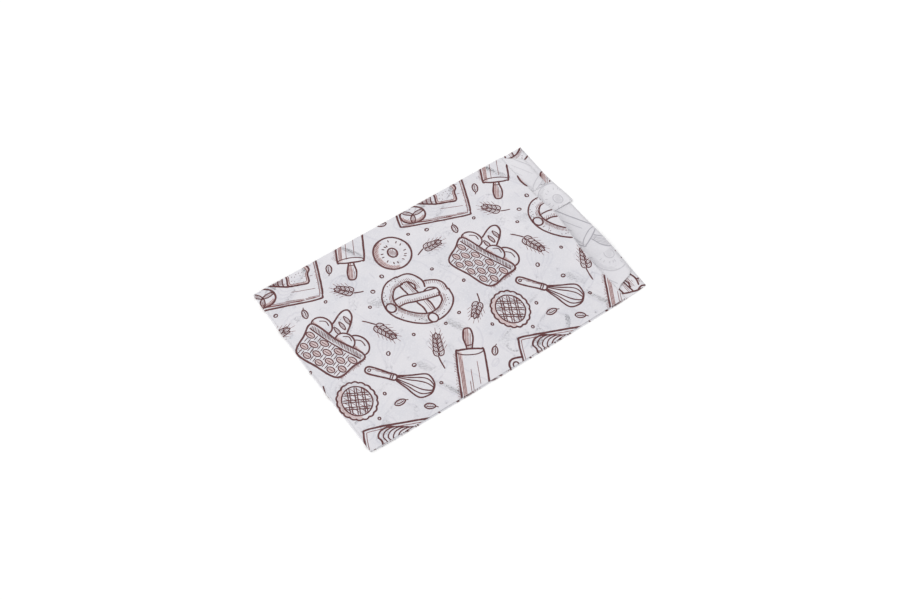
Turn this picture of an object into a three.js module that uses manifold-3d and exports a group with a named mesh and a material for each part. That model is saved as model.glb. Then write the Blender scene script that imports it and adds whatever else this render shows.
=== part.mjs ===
// Flat bakery bag folded from one sheet of thin paper: two side gussets, a glued
// lap seam down the back, a thumb cut at the mouth and a base folded under.
// Millimetres; +X towards the mouth, +Y towards the far side, +Z up; the bag
// lies on its back panel with its underside at z = 0.
import * as THREE from "three";
import { ParametricGeometry } from "three/addons/geometries/ParametricGeometry.js";
import { mergeGeometries, mergeVertices } from "three/addons/utils/BufferGeometryUtils.js";
import Module from "manifold-3d";

// Driving sizes
const bagWidth = 140; // side fold to side fold
const bagLength = 216; // base fold to the mouth edge of the back panel
const gussetDepth = 36; // side fold to the gusset's inner fold
const paper = 0.2; // sheet, drawn thicker than real paper so that it stays one sound wall
const layerGap = 0.3; // air between stacked layers
const lipReach = 17.5; // back panel's mouth edge past the front panel's
const slantWidth = 10; // part of each upper gusset half taken by the thumb cut's slanted end
const nearGussetReach = 1; // upper gusset halves' own mouth edges behind the back panel's
const farGussetReach = 4;
const seamTopEdge = 12.5; // free edge of the lap's upper ply, from the middle line
const seamLap = 10; // width of the glued lap
const seamTipReach = 2.2; // upper ply's mouth corner past the back panel's edge
const baseFlap = 15; // folded under the back and glued
const flapThickness = 0.4; // the folded plies of the base flap
const crownHeight = 6.5; // loft of the front panel along its middle near the mouth
const crownRun = 45; // length over which the loft builds up from the base
const lipLift = 2.5; // upward curl of the back panel's lip
const lipLiftAt = -28; // across the bag, middle of the curl
const lipLiftSpread = 22;
const gussetFloat = 0.35; // height of the gusset's inner fold within the opened depth

// Small clearances and fineness
const beadProud = 0.03; // base fold stands this far above the front panel it joins
const beadBite = 0.25; // layers' length inside the base fold
const flapBite = 0.05; // back panel sinks this far into the flap glued to it
const lapEase = 1.9; // width over which the upper ply steps down off the lap
const lapEdge = 0.3; // foot of the small step at each edge of the lap
const lapNotch = 0.05; // width of the groove's mouth beside the lap's lower ply
const tipSkew = 1; // seam tip's reach is this much less at the lower ply's free edge
const flapRamp = 11; // length over which the back panel comes down off the flap
const curlRunIn = 12; // the lip's curl begins this far behind the front panel's edge
const crownPower = 1.2; // fullness of the loft across the bag
const foldSteps = 4; // straight pieces in each half-round fold
const beadSteps = 8;
const frontSteps = 12; // pieces across the front panel
const nearBackSteps = 6;
const farBackSteps = 4;
const bodySteps = 9; // pieces along the bag between the flap and the lip

// Derived sizes
const halfWidth = bagWidth / 2;
const pitch = paper + layerGap; // layer centre to layer centre
const foldRadius = pitch / 2;
const foldAt = halfWidth - paper / 2 - foldRadius; // centre of the side folds
const innerFoldAt = halfWidth - gussetDepth + paper / 2 + foldRadius;
const slantAt = halfWidth - slantWidth;
const frontMouth = bagLength - lipReach;
const seamUnderEdge = seamTopEdge + seamLap;
const overallLength = bagLength + seamTipReach;
const baseX = -overallLength / 2;
const flatBase = flapThickness - flapBite; // back panel's underside over the flap
const stack = 3 * pitch + paper; // four layers pressed together
const beadRadius = (flatBase + stack + beadProud) / 2;
const rampEnd = baseFlap + flapRamp; // back panel reaches the ground here
const lipStart = frontMouth - curlRunIn;

// Stations along the bag, shared by all layers; each layer then runs on to its own mouth edge.
const stations = [beadRadius - beadBite, baseFlap / 2, baseFlap, rampEnd];
for (let step = 1; step <= bodySteps; step += 1) {
  stations.push(THREE.MathUtils.lerp(rampEnd, lipStart, step / bodySteps));
}
const mouthShares = [0.4, 0.7, 1]; // of the way from the last station to a layer's mouth edge

const smooth = (from, to, value) => THREE.MathUtils.smoothstep(value, from, to);
const bell = (value, middle, spread) => Math.exp(-(((value - middle) / spread) ** 2));

// Middle of the back panel's paper, u along from the base fold and y across.
function backHeight(u, y) {
  const overFlap = flatBase * (1 - THREE.MathUtils.clamp((u - baseFlap) / flapRamp, 0, 1));
  const curl = lipLift * smooth(lipStart, bagLength, u) ** 2 * bell(y, lipLiftAt, lipLiftSpread);
  return paper / 2 + overFlap + curl;
}

// How far the front panel stands above its pressed height.
function crown(u, y) {
  const along = 1 - Math.exp(-Math.max(u - stations[0], 0) / crownRun);
  const across = Math.max(1 - (y / foldAt) ** 2, 0) ** crownPower;
  return crownHeight * along * across;
}

// Middle of each layer's paper, from the back panel up.
function layerHeight(layer, u, y) {
  const back = backHeight(u, y);
  const front = back + 3 * pitch + crown(u, y);
  const inward = (foldAt - Math.abs(y)) / (foldAt - innerFoldAt);
  const opened = crown(u, innerFoldAt);
  if (layer === "back") return back;
  if (layer === "front") return front;
  if (layer === "lower") return back + pitch + inward * gussetFloat * opened;
  return front - pitch - crown(u, y) + crown(u, y) * (1 - inward) + inward * gussetFloat * opened;
}

// The section is a ring of points. Each has its place on the printed and on the
// inner face of the sheet, and the length of the layer it belongs to.
const ring = [];

function addLevel(layer, y, printedUp, mouth) {
  const side = printedUp ? 1 : -1;
  ring.push({
    mouth,
    printed: (u) => [y, layerHeight(layer, u, y) + (side * paper) / 2],
    inner: (u) => [y, layerHeight(layer, u, y) - (side * paper) / 2],
  });
}

// A half-round fold between one layer and the next, its ends left to the layers.
// It bulges along y by towards, and is walked upwards or downwards.
function addFold(below, y, towards, rising, printedOutside, mouth) {
  const side = printedOutside ? 1 : -1;
  for (let step = 1; step < foldSteps; step += 1) {
    const angle = (rising ? 1 : -1) * Math.PI * (step / foldSteps - 0.5);
    const at = (u, radius) => [
      y + towards * radius * Math.cos(angle),
      layerHeight(below, u, y) + foldRadius + radius * Math.sin(angle),
    ];
    ring.push({
      mouth,
      printed: (u) => at(u, foldRadius + (side * paper) / 2),
      inner: (u) => at(u, foldRadius - (side * paper) / 2),
    });
  }
}

// A point of the lap seam, with its own offsets from the underside.
function addLap(printedY, printedZ, innerY, innerZ, mouth) {
  ring.push({
    mouth,
    printed: (u) => [printedY, backHeight(u, printedY) - paper / 2 + printedZ],
    inner: (u) => [innerY, backHeight(u, innerY) - paper / 2 + innerZ],
  });
}

// Both halves of one gusset with their folds, walked upwards on the near side
// and downwards on the far side.
function addSide(sign, gussetReach) {
  const gussetMouth = bagLength - gussetReach;
  const middle = (slantAt + innerFoldAt) / 2;
  const rising = sign < 0;
  const level = (layer, y, printedUp, mouth) => () => addLevel(layer, sign * y, printedUp, mouth);
  const fold = (below, y, towards, outside, mouth) => () => addFold(below, sign * y, towards, rising, outside, mouth);
  const steps = [
    fold("back", foldAt, sign, true, bagLength),
    ...[foldAt, slantAt, middle, innerFoldAt].map((y) => level("lower", y, true, bagLength)),
    fold("lower", innerFoldAt, -sign, false, gussetMouth),
    ...[innerFoldAt, middle, slantAt].map((y) => level("upper", y, false, gussetMouth)),
    level("upper", foldAt, false, frontMouth),
    fold("upper", foldAt, sign, true, frontMouth),
  ];
  (rising ? steps : steps.reverse()).forEach((step) => step());
}

function addSpan(layer, from, to, count, printedUp, mouth) {
  for (let step = 0; step <= count; step += 1) {
    addLevel(layer, THREE.MathUtils.lerp(from, to, step / count), printedUp, mouth);
  }
}

const lapFoot = seamUnderEdge + lapEase;
const tipLow = overallLength - tipSkew;
const nearBackFrom = seamTopEdge - 2 * lapEdge;
addSpan("back", nearBackFrom, -foldAt, nearBackSteps, false, bagLength);
addSide(-1, nearGussetReach);
addSpan("front", -foldAt, foldAt, frontSteps, true, frontMouth);
addSide(1, farGussetReach);
addSpan("back", foldAt, lapFoot + lapEdge, farBackSteps, false, bagLength);
addLap(lapFoot, 0, lapFoot, paper, bagLength);
addLap(seamUnderEdge + lapNotch, paper - lapNotch, seamUnderEdge + lapEdge, 2 * paper, tipLow);
addLap(seamUnderEdge, 0, seamUnderEdge, 2 * paper, tipLow);
addLap(seamTopEdge, 0, seamTopEdge, 2 * paper, overallLength);
addLap(seamTopEdge - lapEdge, 0, seamTopEdge - lapEdge / 2, paper, bagLength);

// Faces of the sheet and its two cut rims, each a net over the ring and the stations.
const columns = stations.length + mouthShares.length - 1;

function place(face, ringShare, columnShare, target) {
  const point = ring[Math.round(ringShare * ring.length) % ring.length];
  const column = Math.round(columnShare * columns);
  const last = stations.at(-1);
  const u = column < stations.length ? stations[column] : last + (point.mouth - last) * mouthShares[column - stations.length];
  const [y, z] = point[face](u);
  target.set(baseX + u, y, z);
}

// The printed face is split along the same diagonals as the inner one, so that
// the sheet keeps its thickness where it curls.
function turnedOver(geometry) {
  const corners = geometry.index.array;
  for (let corner = 0; corner < corners.length; corner += 3) {
    [corners[corner], corners[corner + 1]] = [corners[corner + 1], corners[corner]];
  }
  return geometry;
}

const printedFace = turnedOver(
  new ParametricGeometry((s, t, p) => place("printed", s, t, p), ring.length, columns),
);
const innerFace = new ParametricGeometry((s, t, p) => place("inner", s, t, p), ring.length, columns);
const mouthRim = new ParametricGeometry((s, t, p) => place(t < 0.5 ? "inner" : "printed", s, 1, p), ring.length, 1);
const baseRim = new ParametricGeometry((s, t, p) => place(t < 0.5 ? "printed" : "inner", s, 0, p), ring.length, 1);

// Base fold: a rounded edge that closes the tube, with the flap glued under the back.
const beadProfile = new THREE.Shape();
beadProfile.moveTo(baseFlap, 0);
beadProfile.lineTo(baseFlap, flapThickness);
beadProfile.lineTo(beadRadius, flapThickness);
beadProfile.lineTo(beadRadius, 2 * beadRadius);
beadProfile.absarc(beadRadius, beadRadius, beadRadius, Math.PI / 2, (3 * Math.PI) / 2, false);
const baseFold = new THREE.ExtrudeGeometry(beadProfile, { depth: bagWidth, bevelEnabled: false, curveSegments: beadSteps });
baseFold.rotateX(Math.PI / 2);
baseFold.translate(baseX, halfWidth, 0);

const wasm = await Module();
wasm.setup();

function solid(geometry) {
  geometry.deleteAttribute("normal");
  geometry.deleteAttribute("uv");
  const welded = mergeVertices(geometry, 1e-5);
  return new wasm.Manifold(
    new wasm.Mesh({
      numProp: 3,
      vertProperties: new Float32Array(welded.attributes.position.array),
      triVerts: new Uint32Array(welded.index.array),
    }),
  );
}

const sheet = solid(mergeGeometries([printedFace, innerFace, mouthRim, baseRim]));
const joined = sheet.add(solid(baseFold)).getMesh();
const bagGeometry = new THREE.BufferGeometry();
bagGeometry.setAttribute("position", new THREE.BufferAttribute(new Float32Array(joined.vertProperties), 3));
bagGeometry.setIndex(new THREE.BufferAttribute(new Uint32Array(joined.triVerts), 1));
bagGeometry.computeVertexNormals();

const whitePaper = new THREE.MeshStandardMaterial({ color: 0xe2e1e8, roughness: 0.85, metalness: 0 });
const bag = new THREE.Mesh(bagGeometry, whitePaper);
bag.name = "paper_bag";

const part = new THREE.Group();
part.name = "bakery_bag";
part.add(bag);

export default part;
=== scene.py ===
"""Dresses the flat bakery bag: thin folded paper, its brown line print and a plain studio."""

from __future__ import annotations

import logging
import math
import random
from dataclasses import dataclass, field
from enum import Enum
from typing import Callable, Iterable

import bpy
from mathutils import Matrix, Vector, noise

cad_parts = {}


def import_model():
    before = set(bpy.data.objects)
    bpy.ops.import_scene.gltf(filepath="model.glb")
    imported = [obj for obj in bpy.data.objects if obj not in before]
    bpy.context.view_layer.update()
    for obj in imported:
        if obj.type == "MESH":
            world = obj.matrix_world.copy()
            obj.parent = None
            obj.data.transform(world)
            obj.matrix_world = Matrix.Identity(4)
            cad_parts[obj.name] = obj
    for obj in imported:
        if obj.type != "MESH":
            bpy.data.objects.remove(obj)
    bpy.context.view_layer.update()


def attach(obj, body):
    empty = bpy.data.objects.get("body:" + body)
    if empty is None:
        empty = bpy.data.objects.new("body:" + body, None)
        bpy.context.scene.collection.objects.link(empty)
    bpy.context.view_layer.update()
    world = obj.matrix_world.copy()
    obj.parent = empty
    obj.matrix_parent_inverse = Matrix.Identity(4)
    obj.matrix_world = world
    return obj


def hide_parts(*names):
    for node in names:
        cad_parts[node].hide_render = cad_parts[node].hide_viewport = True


LOG = logging.getLogger("bakery_bag")
MM = 0.001

Point = tuple[float, float]


class Layer(Enum):
    """The parts of the folded sheet, in order from the lower free edge of the back seam."""

    BACK_NEAR = "back_near"
    FOLD_NEAR_LOW = "fold_near_low"
    GUSSET_NEAR_LOW = "gusset_near_low"
    TUCK_NEAR = "tuck_near"
    GUSSET_NEAR_HIGH = "gusset_near_high"
    FOLD_NEAR_HIGH = "fold_near_high"
    FRONT = "front"
    FOLD_FAR_HIGH = "fold_far_high"
    GUSSET_FAR_HIGH = "gusset_far_high"
    TUCK_FAR = "tuck_far"
    GUSSET_FAR_LOW = "gusset_far_low"
    FOLD_FAR_LOW = "fold_far_low"
    BACK_FAR = "back_far"


FLATS = {
    Layer.BACK_NEAR: -1,
    Layer.GUSSET_NEAR_LOW: 1,
    Layer.GUSSET_NEAR_HIGH: -1,
    Layer.FRONT: 1,
    Layer.GUSSET_FAR_HIGH: -1,
    Layer.GUSSET_FAR_LOW: 1,
    Layer.BACK_FAR: -1,
}


TUCKED = (
    Layer.GUSSET_NEAR_LOW, Layer.TUCK_NEAR, Layer.GUSSET_NEAR_HIGH,
    Layer.GUSSET_FAR_HIGH, Layer.TUCK_FAR, Layer.GUSSET_FAR_LOW,
)


@dataclass(frozen=True)
class Span:
    """One stretch of the sheet between two folds, or one fold.

    start and length run across the sheet; y_from and y_to are its ends across
    the bag. A fold has towards, the side it bulges to, and rising.
    """

    layer: Layer
    start: float
    length: float
    y_from: float
    y_to: float
    towards: int = 0
    rising: bool = True


@dataclass(frozen=True)
class Wave:
    """One size of the paper's random waves: its length, breadth, seed and share of the height."""

    long: float
    wide: float
    seed: float
    share: float

    def at(self, u: float, y: float) -> float:
        """Returns the wave's height at a place on the bag."""
        return self.share * noise.noise(Vector((u / self.long, y / self.wide, self.seed)))


def clamp(value: float, low: float = 0.0, high: float = 1.0) -> float:
    """Returns the value kept between two limits."""
    return max(low, min(high, value))


def smooth(low: float, high: float, value: float) -> float:
    """Returns a smooth rise from 0 at low to 1 at high."""
    share = clamp((value - low) / (high - low))
    return share * share * (3 - 2 * share)


def bell(value: float, middle: float, spread: float) -> float:
    """Returns a bell curve of height 1."""
    return math.exp(-(((value - middle) / spread) ** 2))


@dataclass
class FoldedSheet:
    """The bag's one sheet of paper, with all sizes in millimetres.

    A place on the sheet is s across it, from the lower free edge of the back
    seam, and u along it, from the base fold to the mouth.
    """

    # The bag pressed flat, and the room between its layers
    width: float = 140.0
    length: float = 216.0
    gusset_depth: float = 36.0
    paper: float = 0.09
    ply_room: float = 0.1
    pitch: float = 0.3
    rest: float = 0.1
    mouth_press: float = 0.55
    press_before: float = 4.0
    press_after: float = 5.0

    # Where the panels and gussets are cut off at the mouth
    lip_reach: float = 17.5
    slant_width: float = 10.0
    near_gusset_reach: float = 1.0
    near_cut_from: float = 61.5
    near_cut_to: float = 57.0
    far_gusset_reach: float = 4.0
    front_skew: float = 1.0
    front_dip: float = 2.2
    front_dip_at: float = -32.0
    front_dip_spread: float = 22.0
    front_dip_run: float = 12.0

    # The back seam and its upper ply's tip
    seam_top_edge: float = 12.5
    seam_lap: float = 10.0
    seam_ease: float = 2.0
    seam_tip_reach: float = 2.2
    seam_slope_from: float = 46.0
    under_step: float = 0.02
    tip_curl: float = 0.7
    tip_run: float = 26.0
    tip_spread: float = 13.0
    tip_power: float = 1.5

    # The base fold and its flap
    base_flap: float = 15.0
    flap_ramp: float = 11.0
    flap_height: float = 0.35
    base_start: float = 0.6

    # The front panel's loft, which settles at the mouth's far half
    crown_height: float = 4.8
    crown_run: float = 45.0
    crown_power: float = 1.2
    far_settle: float = 0.7
    settle_from: float = 8.0
    settle_to: float = 34.0
    settle_run: float = 90.0
    gusset_float: float = 0.08

    # The curled lip, the wave of the front's edge and the cockles
    lip_lift: float = 2.6
    lip_lift_at: float = -28.0
    lip_lift_spread: float = 22.0
    curl_run_in: float = 12.0
    front_wave: float = 1.9
    front_wave_at: float = 8.0
    front_wave_spread: float = 13.0
    front_wave_run: float = 45.0
    cockle: float = 0.55
    cockle_waves: tuple[Wave, ...] = (Wave(46, 38, 3.1, 1.7), Wave(21, 17, 8.7, 0.9), Wave(9, 8, 5.3, 0.28))
    fade_gain: float = 2.2
    fade_run: float = 22.0

    # The slight bow of the outline
    near_bow: float = 0.9
    low_spread: float = 0.85
    low_spread_run: float = 9.0
    low_spread_end: float = 12.0
    low_layers: tuple[float, float] = (0.3, 0.75)
    base_bow: float = 0.8
    base_bow_run: float = 30.0
    spans: list[Span] = field(init=False)

    def __post_init__(self) -> None:
        """Works out the folds' places and lays out the spans."""
        self.fold_radius = self.pitch / 2
        self.fold_at = self.width / 2 - self.ply_room / 2 - self.fold_radius
        self.tuck_at = self.width / 2 - self.gusset_depth + self.ply_room / 2 + self.fold_radius
        self.slant_at = self.width / 2 - self.slant_width
        self.front_mouth = self.length - self.lip_reach
        self.overall = self.length + self.seam_tip_reach
        self.base_x = -self.overall / 2
        self.bead_radius = (self.flap_height + 3 * self.pitch) / 2
        self.lip_start = self.front_mouth - self.curl_run_in
        self.spans = self._lay_out()
        last = self.spans[-1]
        self.across = last.start + last.length
        self.front = next(span for span in self.spans if span.layer is Layer.FRONT)
        self.wrap = math.pi * self.bead_radius - self.bead_radius + self.base_flap

    def _lay_out(self) -> list[Span]:
        """Lays the spans out across the sheet.

        Returns:
            The spans, in order.
        """
        seam_under = self.seam_top_edge + self.seam_lap
        fold, tuck = self.fold_at, self.tuck_at
        turns = [
            (Layer.BACK_NEAR, seam_under, -fold, 0, True),
            (Layer.FOLD_NEAR_LOW, -fold, -fold, -1, True),
            (Layer.GUSSET_NEAR_LOW, -fold, -tuck, 0, True),
            (Layer.TUCK_NEAR, -tuck, -tuck, 1, True),
            (Layer.GUSSET_NEAR_HIGH, -tuck, -fold, 0, True),
            (Layer.FOLD_NEAR_HIGH, -fold, -fold, -1, True),
            (Layer.FRONT, -fold, fold, 0, True),
            (Layer.FOLD_FAR_HIGH, fold, fold, 1, False),
            (Layer.GUSSET_FAR_HIGH, fold, tuck, 0, True),
            (Layer.TUCK_FAR, tuck, tuck, -1, False),
            (Layer.GUSSET_FAR_LOW, tuck, fold, 0, True),
            (Layer.FOLD_FAR_LOW, fold, fold, 1, False),
            (Layer.BACK_FAR, fold, self.seam_top_edge, 0, True),
        ]
        spans: list[Span] = []
        at = 0.0
        for layer, y_from, y_to, towards, rising in turns:
            size = abs(y_to - y_from) if towards == 0 else math.pi * self.fold_radius
            spans.append(Span(layer, at, size, y_from, y_to, towards, rising))
            at += size
        return spans

    def span_at(self, s: float) -> Span:
        """Finds the span that holds a place across the sheet.

        Args:
            s: Place across the sheet.

        Returns:
            The span.
        """
        for span in self.spans:
            if s <= span.start + span.length:
                return span
        return self.spans[-1]

    def y_of(self, span: Span, s: float) -> float:
        """Returns the place across the bag of a place on one of the sheet's spans."""
        share = clamp((s - span.start) / span.length)
        return span.y_from + (span.y_to - span.y_from) * share

    def back_height(self, u: float, y: float) -> float:
        """Works out the height of the back panel's middle.

        Args:
            u: Place along the bag.
            y: Place across the bag.

        Returns:
            The height.
        """
        over_flap = self.flap_height * (1 - clamp((u - self.base_flap) / self.flap_ramp))
        rise = smooth(self.lip_start, self.length, u) ** 2
        curl = self.lip_lift * rise * bell(y, self.lip_lift_at, self.lip_lift_spread)
        return self.rest + over_flap + curl

    def crown(self, u: float, y: float) -> float:
        """Works out how far the front panel stands above its pressed height.

        Args:
            u: Place along the bag.
            y: Place across the bag.

        Returns:
            The extra height.
        """
        along = 1 - math.exp(-max(u - self.bead_radius, 0) / self.crown_run)
        across = max(1 - (y / self.fold_at) ** 2, 0) ** self.crown_power
        far = smooth(self.settle_from, self.settle_to, y)
        near_mouth = smooth(self.front_mouth - self.settle_run, self.front_mouth, u)
        settled = 1 - self.far_settle * far * near_mouth
        return self.crown_height * along * across * settled

    def ripple(self, u: float, y: float) -> float:
        """Returns the front panel's soft waves and faint cockling.

        Args:
            u: Place along the bag.
            y: Place across the bag.

        Returns:
            A height in millimetres, nil at the side folds and the base.
        """
        fade = clamp((1 - (y / self.fold_at) ** 2) * self.fade_gain) * smooth(0, self.fade_run, u)
        lip_wave = self.front_wave * bell(y, self.front_wave_at, self.front_wave_spread)
        lip_wave *= smooth(self.front_mouth - self.front_wave_run, self.front_mouth, u)
        return fade * self.cockle * sum(wave.at(u, y) for wave in self.cockle_waves) + lip_wave

    def gap(self, u: float) -> float:
        """Returns the distance between two layers, which lie closer at the mouth."""
        pressed = smooth(self.front_mouth - self.press_before, self.front_mouth + self.press_after, u)
        return self.pitch * (1 - self.mouth_press * pressed)

    def height(self, layer: Layer, u: float, y: float) -> float:
        """Returns the height of a flat layer's middle.

        Args:
            layer: One of the flat layers.
            u: Place along the bag.
            y: Place across the bag.

        Returns:
            The height above the ground in millimetres.
        """
        back = self.back_height(u, y)
        gap = self.gap(u)
        inward = (self.fold_at - abs(y)) / (self.fold_at - self.tuck_at)
        opened = self.crown(u, self.tuck_at)
        if layer is Layer.BACK_NEAR:
            return back - self.under_step
        if layer is Layer.BACK_FAR:
            return back + self._far_half_lift(u, y)
        if layer is Layer.FRONT:
            return back + 3 * gap + self.crown(u, y) + self.ripple(u, y)
        if layer in (Layer.GUSSET_NEAR_LOW, Layer.GUSSET_FAR_LOW):
            return back + gap + inward * self.gusset_float * opened
        bulge = (self.crown(u, y) + self.ripple(u, y)) * (1 - inward)
        return back + 2 * gap + bulge + inward * self.gusset_float * opened

    def _far_half_lift(self, u: float, y: float) -> float:
        """Works out how far the back's far half stands over the near half.

        Args:
            u: Place along the bag.
            y: Place across the bag.

        Returns:
            The extra height.
        """
        seam_under = self.seam_top_edge + self.seam_lap
        step = self.ply_room * (1 - smooth(seam_under, seam_under + self.seam_ease, y))
        tip = smooth(self.length - self.tip_run, self.overall, u) ** self.tip_power
        return step + self.tip_curl * tip * bell(y, self.seam_top_edge, self.tip_spread)

    def mouth(self, s: float) -> float:
        """Returns where the sheet is cut off along the bag, at a place across it.

        Args:
            s: Place across the sheet.

        Returns:
            The cut edge's distance from the base fold.
        """
        span = self.span_at(s)
        y = self.y_of(span, s)
        slant = clamp((abs(y) - self.slant_at) / (self.fold_at - self.slant_at))
        far_front = self.front_mouth + self.front_skew
        if span.layer is Layer.GUSSET_NEAR_HIGH:
            own = self.length - self.near_gusset_reach
            cut = clamp((abs(y) - self.near_cut_to) / (self.near_cut_from - self.near_cut_to))
            return own + (self.front_mouth - own) * cut
        if span.layer is Layer.GUSSET_FAR_HIGH:
            own = self.length - self.far_gusset_reach
            return own + (far_front - own) * slant
        if span.layer is Layer.TUCK_NEAR:
            return self.length - self.near_gusset_reach / 2
        if span.layer is Layer.TUCK_FAR:
            return self.length - self.far_gusset_reach / 2
        if span.layer is Layer.FRONT:
            share = (y + self.fold_at) / (2 * self.fold_at)
            dip = self.front_dip * bell(y, self.front_dip_at, self.front_dip_spread)
            dip *= clamp((y + self.fold_at) / self.front_dip_run)
            return self.front_mouth + self.front_skew * share - dip
        if span.layer is Layer.FOLD_NEAR_HIGH:
            return self.front_mouth
        if span.layer is Layer.FOLD_FAR_HIGH:
            return far_front
        if span.layer is Layer.BACK_FAR:
            return self.length + self.seam_tip_reach * smooth(self.seam_slope_from, self.seam_top_edge, y)
        return self.length

    def lowest(self, s: float) -> float:
        """Finds where the sheet ends at the base.

        Args:
            s: Place across the sheet.

        Returns:
            The lowest place along the sheet.
        """
        if self.span_at(s).layer is Layer.FRONT:
            return self.bead_radius - self.wrap
        return self.bead_radius * self.base_start

    def place(self, s: float, u: float, off: float = 0.0) -> Vector:
        """Finds a place of the folded sheet in the bag's frame.

        Args:
            s: Place across the sheet.
            u: Place along the sheet. Less than the base fold's radius runs round
                that fold and on along the flap, on the front panel only.
            off: Distance from the sheet's middle, positive on the printed face.

        Returns:
            The point in metres.
        """
        span = self.span_at(s)
        y = self.y_of(span, s)
        if span.layer is Layer.FRONT and u < self.bead_radius:
            return self._round_base(y, u, off)
        if span.towards == 0:
            z = self.height(span.layer, u, y) + FLATS[span.layer] * off
            return self._in_frame(u, y, z)
        share = clamp((s - span.start) / span.length)
        angle = (1 if span.rising else -1) * math.pi * (share - 0.5)
        tuck = span.layer in (Layer.TUCK_NEAR, Layer.TUCK_FAR)
        bend = self.gap(u) / 2
        radius = bend + (-off if tuck else off)
        z = self._below(span.layer, u, y) + bend + radius * math.sin(angle)
        return self._in_frame(u, y + span.towards * radius * math.cos(angle), z)

    def _below(self, layer: Layer, u: float, y: float) -> float:
        """Finds the flat layer that a fold rises from.

        Args:
            layer: The fold.
            u: Place along the bag.
            y: Place across the bag.

        Returns:
            The height of that layer.
        """
        if layer in (Layer.FOLD_NEAR_LOW, Layer.FOLD_FAR_LOW):
            return self.back_height(u, y)
        if layer in (Layer.TUCK_NEAR, Layer.TUCK_FAR):
            return self.height(Layer.GUSSET_NEAR_LOW, u, y)
        return self.height(Layer.GUSSET_NEAR_HIGH, u, y)

    def _round_base(self, y: float, u: float, off: float) -> Vector:
        """Finds a point on the base fold or its flap.

        Args:
            y: Place across the bag.
            u: Place along the sheet.
            off: Distance from the sheet's middle.

        Returns:
            The point in metres.
        """
        run = self.bead_radius - u
        arc = math.pi * self.bead_radius
        if run < arc:
            turn = run / self.bead_radius
            reach = self.bead_radius + off
            z = self.rest + self.bead_radius + reach * math.cos(turn)
            return self._in_frame(self.bead_radius - reach * math.sin(turn), y, z)
        return self._in_frame(self.bead_radius + run - arc, y, self.rest - off)

    def _in_frame(self, u: float, y: float, z: float) -> Vector:
        """Gives a point the slight bow of the bag's outline, in the part's frame.

        Args:
            u: Place along the bag.
            y: Place across the bag.
            z: Height.

        Returns:
            The point in metres.
        """
        along = clamp(u / self.length)
        low = 1 - smooth(*self.low_layers, (z - self.rest) / (3 * self.pitch))
        near_end = smooth(self.length - self.low_spread_end, self.length, u)
        between_ends = smooth(0, self.low_spread_run, u) * (1 - near_end)
        bow = self.near_bow * math.sin(math.pi * along) + self.low_spread * low * between_ends
        bowed = y - bow * clamp(-y / self.fold_at) ** 3
        pushed = u - self.base_bow * math.cos(math.pi * y / self.width) * clamp(1 - u / self.base_bow_run)
        return Vector(((self.base_x + pushed) * MM, bowed * MM, max(z, 0.0) * MM))


class NodeDesk:
    """Adds and links the shader nodes of one material."""

    def __init__(self, name: str) -> None:
        """Starts an empty node material.

        Args:
            name: Name of the material.
        """
        self.material = bpy.data.materials.new(name)
        self.material.use_nodes = True
        self.tree = self.material.node_tree
        self.tree.nodes.clear()
        self.shader = self.add("ShaderNodeBsdfPrincipled")
        output = self.add("ShaderNodeOutputMaterial")
        self.link(self.shader.outputs[0], output.inputs[0])

    def add(self, kind: str, **settings: object) -> bpy.types.Node:
        """Adds a node.

        Args:
            kind: Blender's name for the node.
            settings: Properties of the node, or values of its inputs by name.

        Returns:
            The new node.
        """
        node = self.tree.nodes.new(kind)
        for key, value in settings.items():
            title = key.replace("_", " ").title()
            if hasattr(node, key):
                setattr(node, key, value)
            else:
                node.inputs[title].default_value = value
        return node

    def link(self, source: bpy.types.NodeSocket, target: bpy.types.NodeSocket) -> None:
        """Links two sockets."""
        self.tree.links.new(source, target)

    def speckle(self, scale: float, detail: float, roughness: float = 0.5) -> bpy.types.NodeSocket:
        """Adds a noise pattern in object coordinates.

        Args:
            scale: Its scale.
            detail: Its detail.
            roughness: Its roughness.

        Returns:
            The pattern.
        """
        where = self.add("ShaderNodeTexCoord")
        pattern = self.add("ShaderNodeTexNoise", scale=scale, detail=detail, roughness=roughness)
        self.link(where.outputs["Object"], pattern.inputs["Vector"])
        return pattern.outputs["Fac"]

    def ramp(self, source: bpy.types.NodeSocket, low: float, high: float) -> bpy.types.NodeSocket:
        """Spreads a part of a socket's range over 0 to 1.

        Args:
            source: The socket.
            low: Value that becomes 0.
            high: Value that becomes 1.

        Returns:
            The spread value.
        """
        spread = self.add("ShaderNodeMapRange")
        spread.inputs["From Min"].default_value = low
        spread.inputs["From Max"].default_value = high
        self.link(source, spread.inputs["Value"])
        return spread.outputs["Result"]

    def blend(
        self,
        share: bpy.types.NodeSocket,
        first: tuple[float, float, float] | bpy.types.NodeSocket,
        second: tuple[float, float, float] | bpy.types.NodeSocket,
    ) -> bpy.types.NodeSocket:
        """Mixes two colours.

        Args:
            share: How much of the second colour shows.
            first: The first colour, or a socket that gives it.
            second: The second colour, or a socket that gives it.

        Returns:
            The mixed colour.
        """
        mix = self.add("ShaderNodeMix", data_type="RGBA")
        self.link(share, mix.inputs["Factor"])
        for socket, colour in ((mix.inputs[6], first), (mix.inputs[7], second)):
            if isinstance(colour, tuple):
                socket.default_value = (*colour, 1)
            else:
                self.link(colour, socket)
        return mix.outputs[2]


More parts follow.
